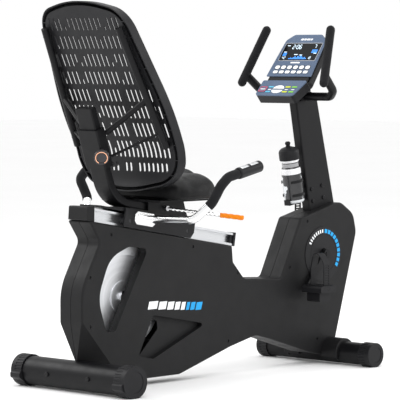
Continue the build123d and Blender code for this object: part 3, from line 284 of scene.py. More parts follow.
def bottle_material():
    """Dark bottle with pale angular patches on its body and pale bands round its neck."""
    m = Material("bottle_plastic", rgb(200, 205, 210), 0.22, Coat_Weight=0.2, Coat_Roughness=0.08)
    up = Vector((BOTTLE_LEAN[0], 0, BOTTLE_LEAN[1])).normalized()
    side = Vector((up.z, 0, -up.x))
    offset = m.vector_math("SUBTRACT", m.place, at(*BOTTLE_FOOT)).outputs["Vector"]

    def along(way):
        return m.vector_math("DOT_PRODUCT", offset, way).outputs["Value"]

    height = along(up)
    turn = m.math("ARCTAN2", along(side), along(Vector((0, 1, 0))))
    round_it = m.math("MULTIPLY", turn, BOTTLE_TURN)
    flat = m.node("ShaderNodeCombineXYZ", X=round_it, Y=height).outputs["Vector"]
    patches = m.node("ShaderNodeTexVoronoi", Vector=flat, Scale=38.0)
    patches.distance = "CHEBYCHEV"
    pale = m.spread(patches.outputs["Color"], 0.24, 0.25, 1.0, 0.0)
    low, high = BOTTLE_PATCHES
    body = m.math("MULTIPLY", m.math("LESS_THAN", height, high),
                  m.math("GREATER_THAN", height, low))
    tone = rgb(205, 208, 211)
    for start, grey in BOTTLE_BANDS:
        tone = m.mix(m.math("GREATER_THAN", height, start), tone, rgb(grey, grey, grey + 2))
    m.paint(m.mix(m.math("MULTIPLY", body, pale), tone, rgb(222, 225, 228)))
    m.rough(40.0, 0.16, 0.28)
    return m.bump(m.noise(90.0, 2.0), 0.06, 0.001)


BOTTLE = bottle_material()

FINISHES = {
    CASE: ["left_case", "right_case", "foot_shrouds", "rail_rear_cover"],
    TRIM: ["left_leveller", "right_leveller", "front_foot_caps", "crank_covers", "console_housing",
           "rail_front_cap", "bottle_lid"],
    PAINT: ["rear_stabiliser", "front_stabiliser", "console_post", "back_bars", "seat_post",
            "backrest_sleeve", "upper_handlebar", "main_frame", "seat_bracket", "magnet_bracket"],
    STEEL_BLACK: ["frame_bolts", "case_screws", "left_crank_arm", "right_crank_arm", "crank_axle",
                  "bottle_cage"],
    CARRIAGE: ["seat_carriage"],
    ALUMINIUM: ["seat_rail"],
    ROLLER: ["rear_rollers", "front_rollers", "drive_pulley"],
    CHROME: ["left_side_bar", "right_side_bar"],
    SHAFT: ["jackshaft", "flywheel_axle", "bearings", "release_lever"],
    IRON: ["flywheel"],
    GRIP: ["pulse_grips"],
    FACE: ["console_faceplate", "keypad_overlay", "stop_key"],
    DISPLAY: ["display_window"],
    KEY_WHITE: ["up_key", "down_key"],
    BOTTLE: ["bottle_body"],
    RUBBER: ["bottle_nozzle", "left_pedal_strap", "right_pedal_strap"],
    BELT: ["front_belt", "rear_belt"],
    PEDAL: ["left_pedal", "right_pedal"],
    ORANGE: ["lever_grip"],
    KNOB: ["height_knob"],
    LEATHER: ["seat_cushion"],
    FOAM: ["upper_grips", "side_foam_grips"],
    SHELL: ["backrest_shell"],
}


def dress(obj, material):
    obj.data.materials.clear()
    obj.data.materials.append(material.mat)


for finish, names in FINISHES.items():
    for name in names:
        dress(NODES[name], finish)


# ---------------------------------------------------------------- mesh helpers
def new_piece(name, verts, faces, material, body, smooth=True):
    """Mesh piece that rides on a CAD body."""
    mesh = bpy.data.meshes.new(name)
    mesh.from_pydata([tuple(v) for v in verts], [], faces)
    mesh.update()
    bm = bmesh.new()
    bm.from_mesh(mesh)
    bmesh.ops.recalc_face_normals(bm, faces=bm.faces)
    bm.to_mesh(mesh)
    bm.free()
    mesh.polygons.foreach_set("use_smooth", [smooth] * len(mesh.polygons))
    obj = bpy.data.objects.new(name, mesh)
    bpy.context.scene.collection.objects.link(obj)
    dress(obj, material)
    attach(obj, body)
    return obj


def rounded_path(points, radii, step=0.006):
    """Straight runs joined by arcs, as closely spaced points."""
    out = [points[0].copy()]
    for a, b, c, r in zip(points, points[1:], points[2:], radii):
        before, after = (b - a).normalized(), (c - b).normalized()
        angle = before.angle(after)
        reach = r * math.tan(angle / 2)
        middle = (after - before).normalized()
        centre = b + middle * (r / math.cos(angle / 2))
        start = b - before * reach
        spin = before.cross(after).normalized()
        count = max(3, int(angle * r / step))
        for i in range(count + 1):
            turn = Matrix.Rotation(angle * i / count, 3, spin)
            out.append(centre + turn @ (start - centre))
    out.append(points[-1].copy())
    return out


def resample(points, step):
    """Points at an even spacing along a run."""
    lengths = [0.0]
    for a, b in zip(points, points[1:]):
        lengths.append(lengths[-1] + (b - a).length)
    count = max(2, round(lengths[-1] / step))
    out = []
    k = 0
    for i in range(count + 1):
        want = lengths[-1] * i / count
        while k < len(points) - 2 and lengths[k + 1] < want:
            k += 1
        span = lengths[k + 1] - lengths[k] or 1.0
        out.append(points[k].lerp(points[k + 1], (want - lengths[k]) / span))
    return out


def frames_along(points):
    """A steady pair of cross directions at each point of a run."""
    tangents = []
    for i in range(len(points)):
        ahead = points[min(i + 1, len(points) - 1)] - points[max(i - 1, 0)]
        tangents.append(ahead.normalized())
    u = tangents[0].orthogonal().normalized()
    pairs = []
    for t in tangents:
        u = (u - t * u.dot(t)).normalized()
        pairs.append((u, t.cross(u)))
    return pairs


def tube_mesh(points, radius, segments=28, caps=True):
    """Vertices and faces of a tube whose radius may vary: radius(s, turn), s from 0 to 1."""
    pairs = frames_along(points)
    verts, faces = [], []
    last = len(points) - 1
    for i, (p, (u, v)) in enumerate(zip(points, pairs)):
        for k in range(segments):
            turn = 2 * math.pi * k / segments
            r = radius(i / last, turn)
            verts.append(p + u * (r * math.cos(turn)) + v * (r * math.sin(turn)))
    for i in range(last):
        for k in range(segments):
            n = (k + 1) % segments
            faces.append((i * segments + k, i * segments + n, (i + 1) * segments + n,
                          (i + 1) * segments + k))
    if caps:
        faces.append(tuple(range(segments)))
        faces.append(tuple(last * segments + k for k in range(segments)))
    return verts, faces


def sleeve_run(points, round_r):
    """Evenly spaced points with finer ones near both ends, for rounding those over."""
    out = resample(points, 0.006)
    fine = [round_r * f for f in (0.04, 0.15, 0.3, 0.5, 0.75)]
    head = [out[0] + (out[1] - out[0]).normalized() * f for f in fine]
    tail = [out[-1] + (out[-2] - out[-1]).normalized() * f for f in reversed(fine)]
    body = [p for p in out if min((p - out[0]).length, (p - out[-1]).length) > round_r]
    return [out[0]] + head + body + tail + [out[-1]]


def foam_sleeve(name, points, radius, round_r, body):
    """Foam tube with rounded ends and a faintly uneven surface."""
    run = sleeve_run(points, round_r)
    places = [0.0]
    for a, b in zip(run, run[1:]):
        places.append(places[-1] + (b - a).length)

    def uneven(s, turn):
        distance = places[round(s * (len(run) - 1))]
        edge = min(distance, places[-1] - distance)
        r = radius
        if edge < round_r:
            r -= round_r - math.sqrt(max(0.0, round_r ** 2 - (round_r - edge) ** 2))
        wave = noise.noise(Vector((distance * 45, math.cos(turn), math.sin(turn))))
        return max(r + 0.00035 * wave, 0.3 * radius)

    verts, faces = tube_mesh(run, uneven, 36)
    piece = new_piece(name, verts, faces, FOAM, body)
    return piece


# ---------------------------------------------------------------- foam sleeves
SIDE_LINE = ((341.2, 310.4, 652), (350, 320, 664), (352, 362, 728), (386, 366, 757),
             (432.5, 366, 766.9))          # mm, from the chrome part to the pulse grip
SIDE_RADII = (0.060, 0.030, 0.040)
UPPER_LOW, UPPER_HIGH = (1069, 210, 1081), (1162, 163, 1288)
SIDE_FOAM_R, UPPER_FOAM_R = 0.0177, 0.0168


def side_sleeve(side):
    """Line of the bent sleeve on a side handlebar."""
    return rounded_path([at(x, side * y, z) for x, y, z in SIDE_LINE], SIDE_RADII)


def upper_sleeve(side):
    """Line of the straight sleeve on a console handlebar, past the tube's two ends."""
    low, high = (at(x, side * y, z) for x, y, z in (UPPER_LOW, UPPER_HIGH))
    along = (high - low).normalized()
    return [low - along * 0.015, low.lerp(high, 0.5), high + along * 0.010]


for name, side in SIDES:
    sleeve = foam_sleeve(f"{name}_side_foam", side_sleeve(side), SIDE_FOAM_R, 0.0045, "seat")
    grip = foam_sleeve(f"{name}_upper_foam", upper_sleeve(side), UPPER_FOAM_R, 0.0162, "base")
    if side > 0:
        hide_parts("side_foam_grips")
        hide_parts("upper_grips")


# ---------------------------------------------------------------- seat cushion
CUSHION_BASE = 669.0      # mm
CUSHION_CENTRE = 425.0
CUSHION_OUTLINE = [(288, 0), (288, 90), (289, 150), (296, 190), (314, 208), (360, 212), (420, 212),
                   (475, 207), (510, 190), (528, 160), (538, 125), (552, 92), (574, 66), (594, 38),
                   (602, 0)]
UNDERSIDE = ((0.25, 0.0), (0.6, 0.0), (0.95, 1.5), (0.985, 8.0), (0.99, 22.0))
CROWN = (0.995, 0.975, 0.94, 0.88, 0.80, 0.70, 0.58, 0.45, 0.30, 0.15)
PIPING_LIFT = 13          # mm over the base
PIPING_R = 0.0017


def smooth_outline(points, count):
    """Even points of a closed, mirrored outline."""
    loop = points + [(x, -y) for x, y in reversed(points[1:-1])]
    dense = []
    n = len(loop)
    for i in range(n):
        p = [Vector(loop[(i + k) % n]) for k in (-1, 0, 1, 2)]
        for j in range(12):
            t = j / 12
            dense.append(0.5 * ((2 * p[1]) + (p[2] - p[0]) * t
                                + (2 * p[0] - 5 * p[1] + 4 * p[2] - p[3]) * t * t
                                + (3 * p[1] - p[0] - 3 * p[2] + p[3]) * t ** 3))
    return resample(dense + [dense[0]], 1400.0 / count)[:-1]


def cushion_top(x, y):
    """Height of the crown over the base: a front pommel, two thigh lobes and a shallow dish."""
    def hump(cx, cy, wx, wy):
        return math.exp(-((x - cx) / wx) ** 2 - ((y - cy) / wy) ** 2)
    rise = 82 + 22 * hump(560, 0, 90, 62) - 9 * hump(385, 0, 75, 110) + 5 * hump(290, 0, 40, 200)
    for s in (1, -1):
        rise += 9 * hump(480, s * 135, 70, 60) - 9 * hump(545, s * 78, 50, 26)
    return rise


def cushion_blank():
    """Closed, crowned form a little smaller than the finished cushion."""
    outline = smooth_outline(CUSHION_OUTLINE, 110)
    centre = Vector((CUSHION_CENTRE, 0))
    verts, faces = [], []
    levels = [[(centre + (p - centre) * scale, lift) for p in outline] for scale, lift in UNDERSIDE]
    for scale in CROWN:
        level = []
        for p in outline:
            q = centre + (p - centre) * scale
            level.append((q, 20 + (cushion_top(q.x, q.y) - 20) * (1 - scale ** 5) ** 0.42))
        levels.append(level)
    for level in levels:
        verts += [at(q.x, q.y, CUSHION_BASE + lift) for q, lift in level]
    n = len(outline)
    for k in range(len(levels) - 1):
        for i in range(n):
            j = (i + 1) % n
            faces.append((k * n + i, k * n + j, (k + 1) * n + j, (k + 1) * n + i))
    for ring, lift in ((0, 0.0), (len(levels) - 1, cushion_top(centre.x, 0))):
        verts.append(at(centre.x, 0, CUSHION_BASE + lift))
        hub = len(verts) - 1
        faces += [(ring * n + i, ring * n + (i + 1) % n, hub) for i in range(n)]
    return verts, faces


def puff(obj, voxel, pressure, cap, pinned_below):
    """Cloth inflation of a padded form; its underside stays where it rests."""
    remesh = obj.modifiers.new("Remesh", "REMESH")
    remesh.mode = "VOXEL"
    remesh.voxel_size = voxel
    apply_modifiers(obj)
    start = [v.co.copy() for v in obj.data.vertices]
    pins = obj.vertex_groups.new(name="pins")
    pins.add([v.index for v in obj.data.vertices if v.co.z < pinned_below], 1.0, "REPLACE")
    cloth = obj.modifiers.new("Cloth", "CLOTH")
    cloth.settings.quality = 5
    cloth.settings.mass = 0.3
    cloth.settings.tension_stiffness = 12
    cloth.settings.compression_stiffness = 12
    cloth.settings.bending_stiffness = 0.6
    cloth.settings.use_pressure = True
    cloth.settings.uniform_pressure_force = pressure
    cloth.settings.vertex_group_mass = "pins"
    cloth.settings.effector_weights.gravity = 0.0
    for step in range(1, 21):
        bpy.context.scene.frame_set(step)
    shaped = obj.evaluated_get(bpy.context.evaluated_depsgraph_get())
    moved = [v.co.copy() for v in shaped.data.vertices]
    obj.modifiers.remove(cloth)
    for v, before, after in zip(obj.data.vertices, start, moved):
        shift = after - before
        v.co = before + shift * min(1.0, cap / max(shift.length, 1e-9))
    obj.vertex_groups.clear()
    bpy.context.scene.frame_set(1)


def apply_modifiers(obj):
    """The object's mesh with its modifiers worked in."""
    bpy.context.view_layer.update()
    shaped = obj.evaluated_get(bpy.context.evaluated_depsgraph_get())
    mesh = bpy.data.meshes.new_from_object(shaped)
    obj.modifiers.clear()
    obj.data = mesh


def relax(obj, rounds, lowest):
    """Evens out the stair steps that the remesh leaves, above a height."""
    bm = bmesh.new()
    bm.from_mesh(obj.data)
    free = [v for v in bm.verts if v.co.z > lowest]
    for _ in range(rounds):
        bmesh.ops.smooth_vert(bm, verts=free, factor=0.5, use_axis_x=True, use_axis_y=True,
                              use_axis_z=True)
    bm.to_mesh(obj.data)
    bm.free()


def subdivide(obj):
    modifier = obj.modifiers.new("Subdivision", "SUBSURF")
    modifier.levels = modifier.render_levels = 1
    apply_modifiers(obj)
    obj.data.polygons.foreach_set("use_smooth", [True] * len(obj.data.polygons))


def make_cushion():
    """The seat pad: blank, inflated, smoothed and subdivided."""
    verts, faces = cushion_blank()
    cushion = new_piece("cushion_pad", verts, faces, LEATHER, "seat")
    base = at(0, 0, CUSHION_BASE).z
    puff(cushion, voxel=0.005, pressure=4.0, cap=0.006, pinned_below=base + 0.002)
    relax(cushion, 6, base + 0.001)
    subdivide(cushion)
    dress(cushion, LEATHER)
    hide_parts("seat_cushion")
    return cushion


def piping(cushion, count=120):
    """Sewn cord round the cushion, just over its base."""
    centre = at(CUSHION_CENTRE, 0, CUSHION_BASE + PIPING_LIFT)
    points = []
    for i in range(count):
        turn = 2 * math.pi * i / count
        way = Vector((math.cos(turn), math.sin(turn), 0))
        hit, spot, _, _ = cushion.ray_cast(centre + way * 0.5, -way)
        if hit:
            points.append(spot)
    points.append(points[0])
    verts, faces = tube_mesh(points, lambda s, turn: PIPING_R, 10, caps=False)
    new_piece("cushion_piping", verts, faces, LEATHER, "seat")


piping(make_cushion())


# ---------------------------------------------------------------- printed marks and small trim
def plate(name, outlines, place, c0, c1, material, body, slot):
    """Thin raised marks: each outline is a list of (a, b), put in space by place(a, b, c)."""
    verts, faces = [], []
    for outline in outlines:
        first = len(verts)
        n = len(outline)
        verts += [place(a, b, c) for c in (c0, c1) for a, b in outline]
        faces.append(tuple(first + i for i in range(n)))
        faces.append(tuple(first + n + i for i in range(n)))
        faces += [(first + i, first + (i + 1) % n, first + n + (i + 1) % n, first + n + i)
                  for i in range(n)]
    return new_piece(name, verts, faces, material, body, smooth=False)


def round_mark(a, b, wide, high, r, steps=5):
    """Rounded rectangle outline about (a, b)."""
    out = []
    for sx, sy, start in ((1, 1, 0), (-1, 1, 90), (-1, -1, 180), (1, -1, 270)):
        for i in range(steps + 1):
            turn = math.radians(start + 90 * i / steps)
            out.append((a + sx * (wide / 2 - r) + r * math.cos(turn),
                        b + sy * (high / 2 - r) + r * math.sin(turn)))
    return out


def box_mark(a0, a1, b0, b1, slant=0.0):
    """Parallelogram outline; slant shifts its top sideways."""
    return [(a0, b0), (a1, b0), (a1 + slant, b1), (a0 + slant, b1)]


def arc_mark(r0, r1, start, end, steps=6):
    """Piece of a ring, angles in degrees."""
    turns = [math.radians(start + (end - start) * i / steps) for i in range(steps + 1)]
    return ([(r1 * math.cos(t), r1 * math.sin(t)) for t in turns]
            + [(r0 * math.cos(t), r0 * math.sin(t)) for t in reversed(turns)])


PRINT = (-0.2, 0.25)      # mm, bottom and top of a printed mark over its surface
COVER_FACE = 60.1         # mm, the crank covers' outer faces from the middle plane
BAR_START, BAR_LOW, BAR_FALL = 290.0, 268.0, 0.075
WHITE_WIDTHS, WHITE_GAP = (46, 38, 31, 25, 20), 7
BLUE_WIDTHS, BLUE_GAP = (16, 22, 30), 6


def on_cover(side):
    """Placer on a crank cover: a forward and b up from the crank, c outward."""
    return lambda a, b, c: at(CRANK[0] + a, side * (COVER_FACE + c), CRANK[1] + b)


def on_side(side):
    """Placer on the casing's side: a forward, b up, c outward."""
    return lambda a, b, c: at(a, side * (CASE_HALF + c), b)


def slanted_bars(x, widths, gap):
    """Outlines of bars along a falling line, and where the next bar would start."""
    bars = []
    for wide in widths:
        low = BAR_LOW - BAR_FALL * (x - BAR_START)
        bars.append(box_mark(x, x + wide, low + 6, low + 34, 8))
        x += wide + gap
    return bars, x


# ring of graduations on the crank covers
for name, side in SIDES:
    ticks = [arc_mark(81, 94, 152 - 8 * i, 148 - 8 * i, 3) for i in range(8)]
    blocks = [arc_mark(80, 95, 86 - 12.4 * i, 77 - 12.4 * i, 4) for i in range(10)]
    plate(f"{name}_ring_ticks", ticks, on_cover(side), *PRINT, WHITE, "base", "white_key")
    plate(f"{name}_ring_blocks", blocks, on_cover(side), *PRINT, BLUE, "base", "display_glass")

# slanted bars on the casing's sides
for name, side in SIDES:
    bars, end = slanted_bars(BAR_START, WHITE_WIDTHS, WHITE_GAP)
    plate(f"{name}_side_bars", bars, on_side(side), *PRINT, WHITE, "base", "white_key")
    bars, end = slanted_bars(end, BLUE_WIDTHS, BLUE_GAP)
    plate(f"{name}_side_accent", bars, on_side(side), *PRINT, BLUE, "base", "display_glass")


# ---------------------------------------------------------------- console graphics
def on_panel(x, z, degrees):
    """Placer on a tilted panel: a to the rider's right, b up it, c out of it, in millimetres."""
    tilt = math.radians(degrees)

    def place(a, b, c):
        return at(x + b * math.sin(tilt) - c * math.cos(tilt), -a,
                  z + b * math.cos(tilt) + c * math.sin(tilt))
    return place


on_face = on_panel(1057.0, 1043.0, 36.4)
on_keys = on_panel(1020.0, 1034.0, 50.0)
DISPLAY_PRINT = (-0.3, -0.05)              # mm over the face; the window is sunk below it
FACE_PRINT = (-0.3, 0.3)
CAP_TOP = 1.7
KEY_PRINT = (3.2, 3.9)                     # on the framed key's cap
STOP = (-76, 33, 37.4, 31.4)               # middle and size of the framed key
GRAPH = (4, 7, 5, 9, 13, 8, 15, 11, 18, 12, 7, 10, 5)
SEGMENTS = {"0": "abcdef", "1": "bc", "2": "abged", "3": "abgcd", "4": "fgbc", "5": "afgcd",
            "6": "afgedc", "7": "abc", "8": "abcdefg", "9": "abcdfg"}


def digits(text, a, b, high):
    """Outlines of seven-segment numerals."""
    wide, thick = high * 0.52, high * 0.13
    out = []
    bars = {"a": (0, high, wide, 0), "g": (0, high / 2, wide, 0), "d": (0, 0, wide, 0),
            "f": (0, high / 2, 0, high / 2), "b": (wide, high / 2, 0, high / 2),
            "e": (0, 0, 0, high / 2), "c": (wide, 0, 0, high / 2)}
    for letter in text:
        if letter == ":":
            out += [box_mark(a, a + thick, b + high * f, b + high * f + thick)
                    for f in (0.25, 0.65)]
            a += thick * 2.4
            continue
        for key in SEGMENTS[letter]:
            x, y, dx, dy = bars[key]
            gap = thick * 0.35
            if dx:
                out.append(box_mark(a + x + gap, a + x + dx - gap,
                                    b + y - thick / 2, b + y + thick / 2))
            else:
                out.append(box_mark(a + x - thick / 2, a + x + thick / 2,
                                    b + y + gap, b + y + dy - gap))
        a += wide + high * 0.28
    return out


def ring_bars(a, b, wide, high, t):
    """Four bars that frame a rectangle."""
    x0, x1, y0, y1 = a - wide / 2, a + wide / 2, b - high / 2, b + high / 2
    return [box_mark(x0, x1, y1 - t, y1), box_mark(x0, x1, y0, y0 + t),
            box_mark(x0, x0 + t, y0, y1), box_mark(x1 - t, x1, y0, y1)]


def console_print():
    """Display read-outs, key caps, dark pads of painted shade round the caps, and the coloured key
    faces.
    """
    def lay(name, outlines, c0, c1, material, place=on_face):
        plate(name, outlines, place, c0, c1, material, "base", "faceplate_plastic")

    numbers = (digits("2:06", -50, 209, 18) + digits("7", 60, 212, 16)
               + digits("18", 50, 161, 11) + digits("42", -80, 161, 11))
    captions = [box_mark(-80, -66, 222, 225), box_mark(70, 84, 186, 189),
                box_mark(-84, -70, 192, 195), box_mark(2, 16, 178, 181),
                box_mark(-26, -8, 180, 183)]
    lay("readout_white", numbers + captions, *DISPLAY_PRINT, LIT_WHITE)
    graph = [box_mark(-46 + 7 * i, -41 + 7 * i, 160, 160 + h) for i, h in enumerate(GRAPH)]
    gauges = [box_mark(-84, -66, 176 + 5 * i, 179.4 + 5 * i) for i in range(3)]
    gauges += [box_mark(56, 84, 190 + 5.5 * i, 193.8 + 5.5 * i) for i in range(3)]
    lay("readout_blue", graph + gauges, *DISPLAY_PRINT, LIT_BLUE)
    lay("display_border", ring_bars(0, 194, 189, 85, 1.8), *FACE_PRINT, SENSOR)

    columns = [-77 + i * 30.8 for i in range(6)]
    # dark pads a little larger than each key cap: painted shade round the raised keys
    key_shade_pads = [round_mark(a, b, 26, high + 3, 7) for a in columns
                 for b, high in ((120, 16), (98, 13))]
    lay("key_painted_shade", key_shade_pads, *FACE_PRINT, DISPLAY)
    caps = [round_mark(a, 120, 23, 16, 7.8) for a in columns]
    caps += [round_mark(a, 98, 23, 13, 5) for a in columns]
    lay("key_caps", caps, FACE_PRINT[0], CAP_TOP, KEY_WHITE)
    title = [box_mark(a, a + wide, 249, 257, 3)
             for a, wide in ((-28, 14), (-11, 10), (2, 16), (21, 9))]
    lay("title_bars", title + [round_mark(0, 143, 48, 6, 2.5)], *FACE_PRINT, WHITE)

    coloured = (("blue", -43, PALE_BLUE), ("yellow", 43, YELLOW), ("green", 76, GREEN))
    for name, a, material in coloured:
        pair = [round_mark(a, b, 25, 7, 2.5) for b in (47, 19)]
        lay(f"{name}_keys", pair, 1.2, 2.9, material, on_keys)
    dashes = [round_mark(a, 33, 16, 3.6, 1.5) for _, a, _ in coloured]
    lay("key_dashes", dashes, 1.2, 1.8, WHITE, on_keys)


console_print()


def stop_frame():
    """Thin red line round the face of the framed key, and a pale dash across it."""
    a, b, wide, high = STOP
    plate("stop_key_frame", ring_bars(a, b, wide - 4, high - 4, 2.6), on_keys, *KEY_PRINT, RED,
          "key_stop", "key_plastic")
    plate("stop_key_dash", [round_mark(a, b, 24, 4, 1.5)], on_keys, *KEY_PRINT, WHITE,
          "key_stop", "key_plastic")


stop_frame()


# ---------------------------------------------------------------- pulse plates, lever and knob
GRIP_START, GRIP_END = (432.8, 366, 767), (548.8, 366, 791.7)
PLATE_SPANS = ((0.10, 0.43), (0.52, 0.85))     # shares of the grip's length
PLATE_RADII = (0.0206, 0.02135)                # a plate's sunk edge and its face
PLATE_ARC = 42            # degrees each way from the top of the grip
PLATE_ROWS, PLATE_COLS = 6, 12
LEVER_START, LEVER_TIP = at(385, -62, 634), at(575, -255, 600)
KNOB_DIR = Vector((-0.70, -0.67, -0.24)).normalized()
KNOB_DOME = ((18.6, -2.0), (18.2, -0.2), (15.0, 0.9), (9.0, 1.6), (3.0, 1.9))   # radius, height
KNOB_SIDES = 40
RIM_DEPTH = 0.0008


def pulse_plates(name, side):
    """Two steel sensor plates let into the top of a pulse grip."""
    first, last = (at(x, side * y, z) for x, y, z in (GRIP_START, GRIP_END))
    along = (last - first).normalized()
    cross = Vector((0, 1, 0))
    up = cross.cross(along).normalized()
    if up.z < 0:
        up = -up
    length = (last - first).length
    rows, wide = PLATE_ROWS, PLATE_COLS + 1
    corners = ([i * wide for i in range(rows + 1)],
               [i * wide + PLATE_COLS for i in range(rows + 1)],
               list(range(wide)),
               [rows * wide + k for k in range(wide)])
    verts, faces = [], []
    for s0, s1 in PLATE_SPANS:
        low = len(verts)
        for r in PLATE_RADII:
            for i in range(rows + 1):
                for k in range(wide):
                    turn = math.radians(PLATE_ARC * (2 * k / PLATE_COLS - 1))
                    spot = first + along * (length * (s0 + (s1 - s0) * i / rows))
                    verts.append(spot + (up * math.cos(turn) + cross * math.sin(turn)) * r)
        top = low + (rows + 1) * wide
        for i in range(rows):
            for k in range(PLATE_COLS):
                q = top + i * wide + k
                faces.append((q, q + 1, q + wide + 1, q + wide))
        for line in corners:
            for p, q in zip(line, line[1:]):
                faces.append((low + p, low + q, top + q, top + p))
    new_piece(f"{name}_pulse_plates", verts, faces, SENSOR, "seat")


for name, side in SIDES:
    pulse_plates(name, side)


def twisted(name, a, b, low, high, strands, pitch, material, round_r=0.0):
    """Rod with twisted strands, between two radii, and its ends rounded over round_r."""
    length = (b - a).length
    points = resample([a, b], 0.0012)

    def ridge(s, turn):
        wave = 0.5 + 0.5 * math.cos(strands * turn - 2 * math.pi * s * length / pitch)
        r = low + (high - low) * wave
        edge = min(s, 1 - s) * length
        if edge < round_r:
            r -= round_r - math.sqrt(max(0.0, round_r ** 2 - (round_r - edge) ** 2))
        return max(r, 0.001)

    verts, faces = tube_mesh(points, ridge, 28)
    return new_piece(name, verts, faces, material, "lever")


lever_way = (LEVER_TIP - LEVER_START).normalized()
twisted("lever_twist", LEVER_START + lever_way * 0.018, LEVER_TIP - lever_way * 0.080,
        low=0.0050, high=0.0063, strands=2, pitch=0.016, material=CHROME)
spiral = twisted("lever_grip_spiral", LEVER_TIP - lever_way * 0.082,
                 LEVER_TIP + lever_way * 0.006, low=0.0080, high=0.0092, strands=3,
                 pitch=0.022, material=ORANGE, round_r=0.005)
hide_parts("lever_grip")


def knob_face():
    """Centre of the knob's front rim, taken along its own axis from the CAD mesh."""
    points = [v.co for v in NODES["height_knob"].data.vertices]
    far = max(p.dot(KNOB_DIR) for p in points)
    rim = [p for p in points if p.dot(KNOB_DIR) > far - RIM_DEPTH]
    return sum(rim, Vector()) / len(rim)


def knob_ring():
    """Copper-coloured ring with a notch at the bottom, and a domed centre."""
    face = knob_face()
    u = KNOB_DIR.cross(Vector((0, 0, 1))).normalized()
    v = u.cross(KNOB_DIR).normalized()

    def on_knob(a, b, c):
        return face + (u * a + v * b + KNOB_DIR * c) / 1000

    plate("knob_ring", [arc_mark(19.2, 22.2, -62, 242, 48)], on_knob, -1.2, 0.8, COPPER, "knob",
          "knob_plastic")
    verts, faces = [], []
    n = KNOB_SIDES
    turns = [2 * math.pi * i / n for i in range(n)]
    for r, c in KNOB_DOME:
        verts += [on_knob(r * math.cos(turn), r * math.sin(turn), c) for turn in turns]
    for k in range(len(KNOB_DOME) - 1):
        faces += [(k * n + i, k * n + (i + 1) % n, (k + 1) * n + (i + 1) % n, (k + 1) * n + i)
                  for i in range(n)]
    faces.append(tuple(range(n)))
    faces.append(tuple((len(KNOB_DOME) - 1) * n + i for i in range(n)))
    new_piece("knob_centre", verts, faces, KNOB, "knob")


knob_ring()


# ---------------------------------------------------------------- painted shade in the sockets of the bolt heads and screws
MARK_DEPTH, MARK_PROUD = -0.0006, 0.00012
STAY_SLOPE = math.radians(35)
STAY_BOLT = (1283.0, 46.0)                 # centre of the front stabiliser's bolts, x and z
STAY_REACH = 45.0                          # from there to the bolt heads' faces
CAGE_BOLTS = ((1216, 672), (1276, 684), (1224, 626), (1284, 638))
SCREWS = ((108, 552), (5, 407), (5, 232), (523, 489), (760, 379), (709, 128), (1149, 553),
          (1048, 382), (1208, 98))


def hexagon_shade_marks(name, spots, radius):
    """Dark hexagonal marks of painted shade where a socket or recess is hollow: each spot is a
    centre and its outward way.
    """
    verts, faces = [], []
    for centre, way in spots:
        way = way.normalized()
        u = way.orthogonal().normalized()
        v = way.cross(u)
        first = len(verts)
        for c in (MARK_DEPTH, MARK_PROUD):
            verts += [centre + way * c + (u * math.cos(math.pi * i / 3)
                                          + v * math.sin(math.pi * i / 3)) * radius
                      for i in range(6)]
        faces += [tuple(first + i for i in range(6)), tuple(first + 6 + i for i in range(6))]
        faces += [(first + i, first + (i + 1) % 6, first + 6 + (i + 1) % 6, first + 6 + i)
                  for i in range(6)]
    new_piece(name, verts, faces, DISPLAY, "base", smooth=False)


down, back = STAY_REACH * math.sin(STAY_SLOPE), STAY_REACH * math.cos(STAY_SLOPE)
sockets = [(at(-57, y, 56.5), Vector((-1, 0, 0))) for y in (-105, 105)]
sockets += [(at(STAY_BOLT[0] - back, y, STAY_BOLT[1] - down), Vector((-back, 0, -down)))
            for y in (-128, 128)]
sockets += [(at(x, s * 24, z), Vector((0, s, 0))) for x, z in CAGE_BOLTS for s in (1, -1)]
hexagon_shade_marks("bolt_socket_shade", sockets, 0.0028)
recesses = [(at(x, s * 55.4, z), Vector((0, s, 0))) for x, z in SCREWS for s in (1, -1)]
hexagon_shade_marks("screw_recess_shade", recesses, 0.0024)


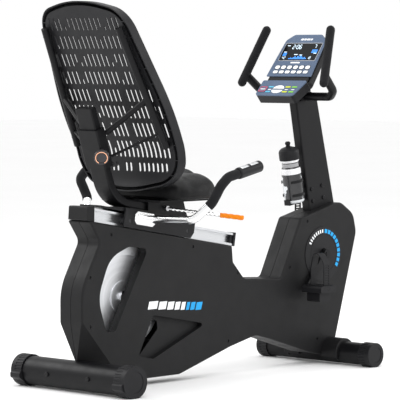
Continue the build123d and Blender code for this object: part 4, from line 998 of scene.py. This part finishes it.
# ---------------------------------------------------------------- studio
FLOOR_REACH = 30.0
LIGHTS = (                                 # name, place, target, size, power
    ("key", (-2.5, -3.5, 4.2), (0, 0, 0.6), (3.0, 3.0), 85),
    ("fill", (3.5, -3.0, 2.5), (0, 0, 0.6), (2.5, 2.5), 45),
    ("back", (-2.0, 3.5, 3.0), (0, 0, 0.8), (3.0, 2.0), 70),
    ("top", (0.3, 0.0, 4.5), (0.1, 0, 0), (4.0, 3.0), 55),
)
CAMERA_PLACE = (-6.2594 - ORIGIN_X / 1000, -6.6627, 1.1763)
CAMERA_TURN = 45.914      # degrees, from +Y towards +X
CAMERA_DOWN = 3.128       # degrees under the level
CAMERA_LENS = 234.06      # mm, on a 36 mm sensor


def make_floor():
    mesh = bpy.data.meshes.new("floor")
    corners = [(FLOOR_REACH * x, FLOOR_REACH * y, 0)
               for x, y in ((-1, -1), (1, -1), (1, 1), (-1, 1))]
    mesh.from_pydata(corners, [], [(0, 1, 2, 3)])
    floor = bpy.data.objects.new("floor", mesh)
    bpy.context.scene.collection.objects.link(floor)
    pale = Material("floor_pale", (0.97, 0.97, 0.97), 0.8)
    floor.data.materials.append(pale.mottle(0.8, 0.01).mat)


def area_light(name, place, target, size, power):
    light = bpy.data.lights.new(name, "AREA")
    light.shape = "RECTANGLE"
    light.size, light.size_y = size
    light.energy = power
    lamp = bpy.data.objects.new(name, light)
    bpy.context.scene.collection.objects.link(lamp)
    lamp.location = place
    lamp.rotation_euler = (Vector(target) - Vector(place)).to_track_quat("-Z", "Y").to_euler()


def make_camera():
    """Long lens at the photograph's angle."""
    camera = bpy.data.cameras.new("camera")
    camera.sensor_width = 36
    camera.lens = CAMERA_LENS
    camera.clip_end = 100
    obj = bpy.data.objects.new("camera", camera)
    bpy.context.scene.collection.objects.link(obj)
    obj.location = CAMERA_PLACE
    azimuth, down = math.radians(CAMERA_TURN), math.radians(CAMERA_DOWN)
    way = Vector((math.sin(azimuth) * math.cos(down), math.cos(azimuth) * math.cos(down),
                  -math.sin(down)))
    obj.rotation_euler = way.to_track_quat("-Z", "Y").to_euler()
    bpy.context.scene.camera = obj


def make_world():
    world = bpy.data.worlds.new("studio")
    bpy.context.scene.world = world
    world.use_nodes = True
    background = world.node_tree.nodes["Background"]
    background.inputs["Color"].default_value = (1.0, 1.0, 1.0, 1)
    background.inputs["Strength"].default_value = 1.0


bpy.context.scene.view_settings.view_transform = "Standard"
make_floor()
for light in LIGHTS:
    area_light(*light)
make_world()
make_camera()
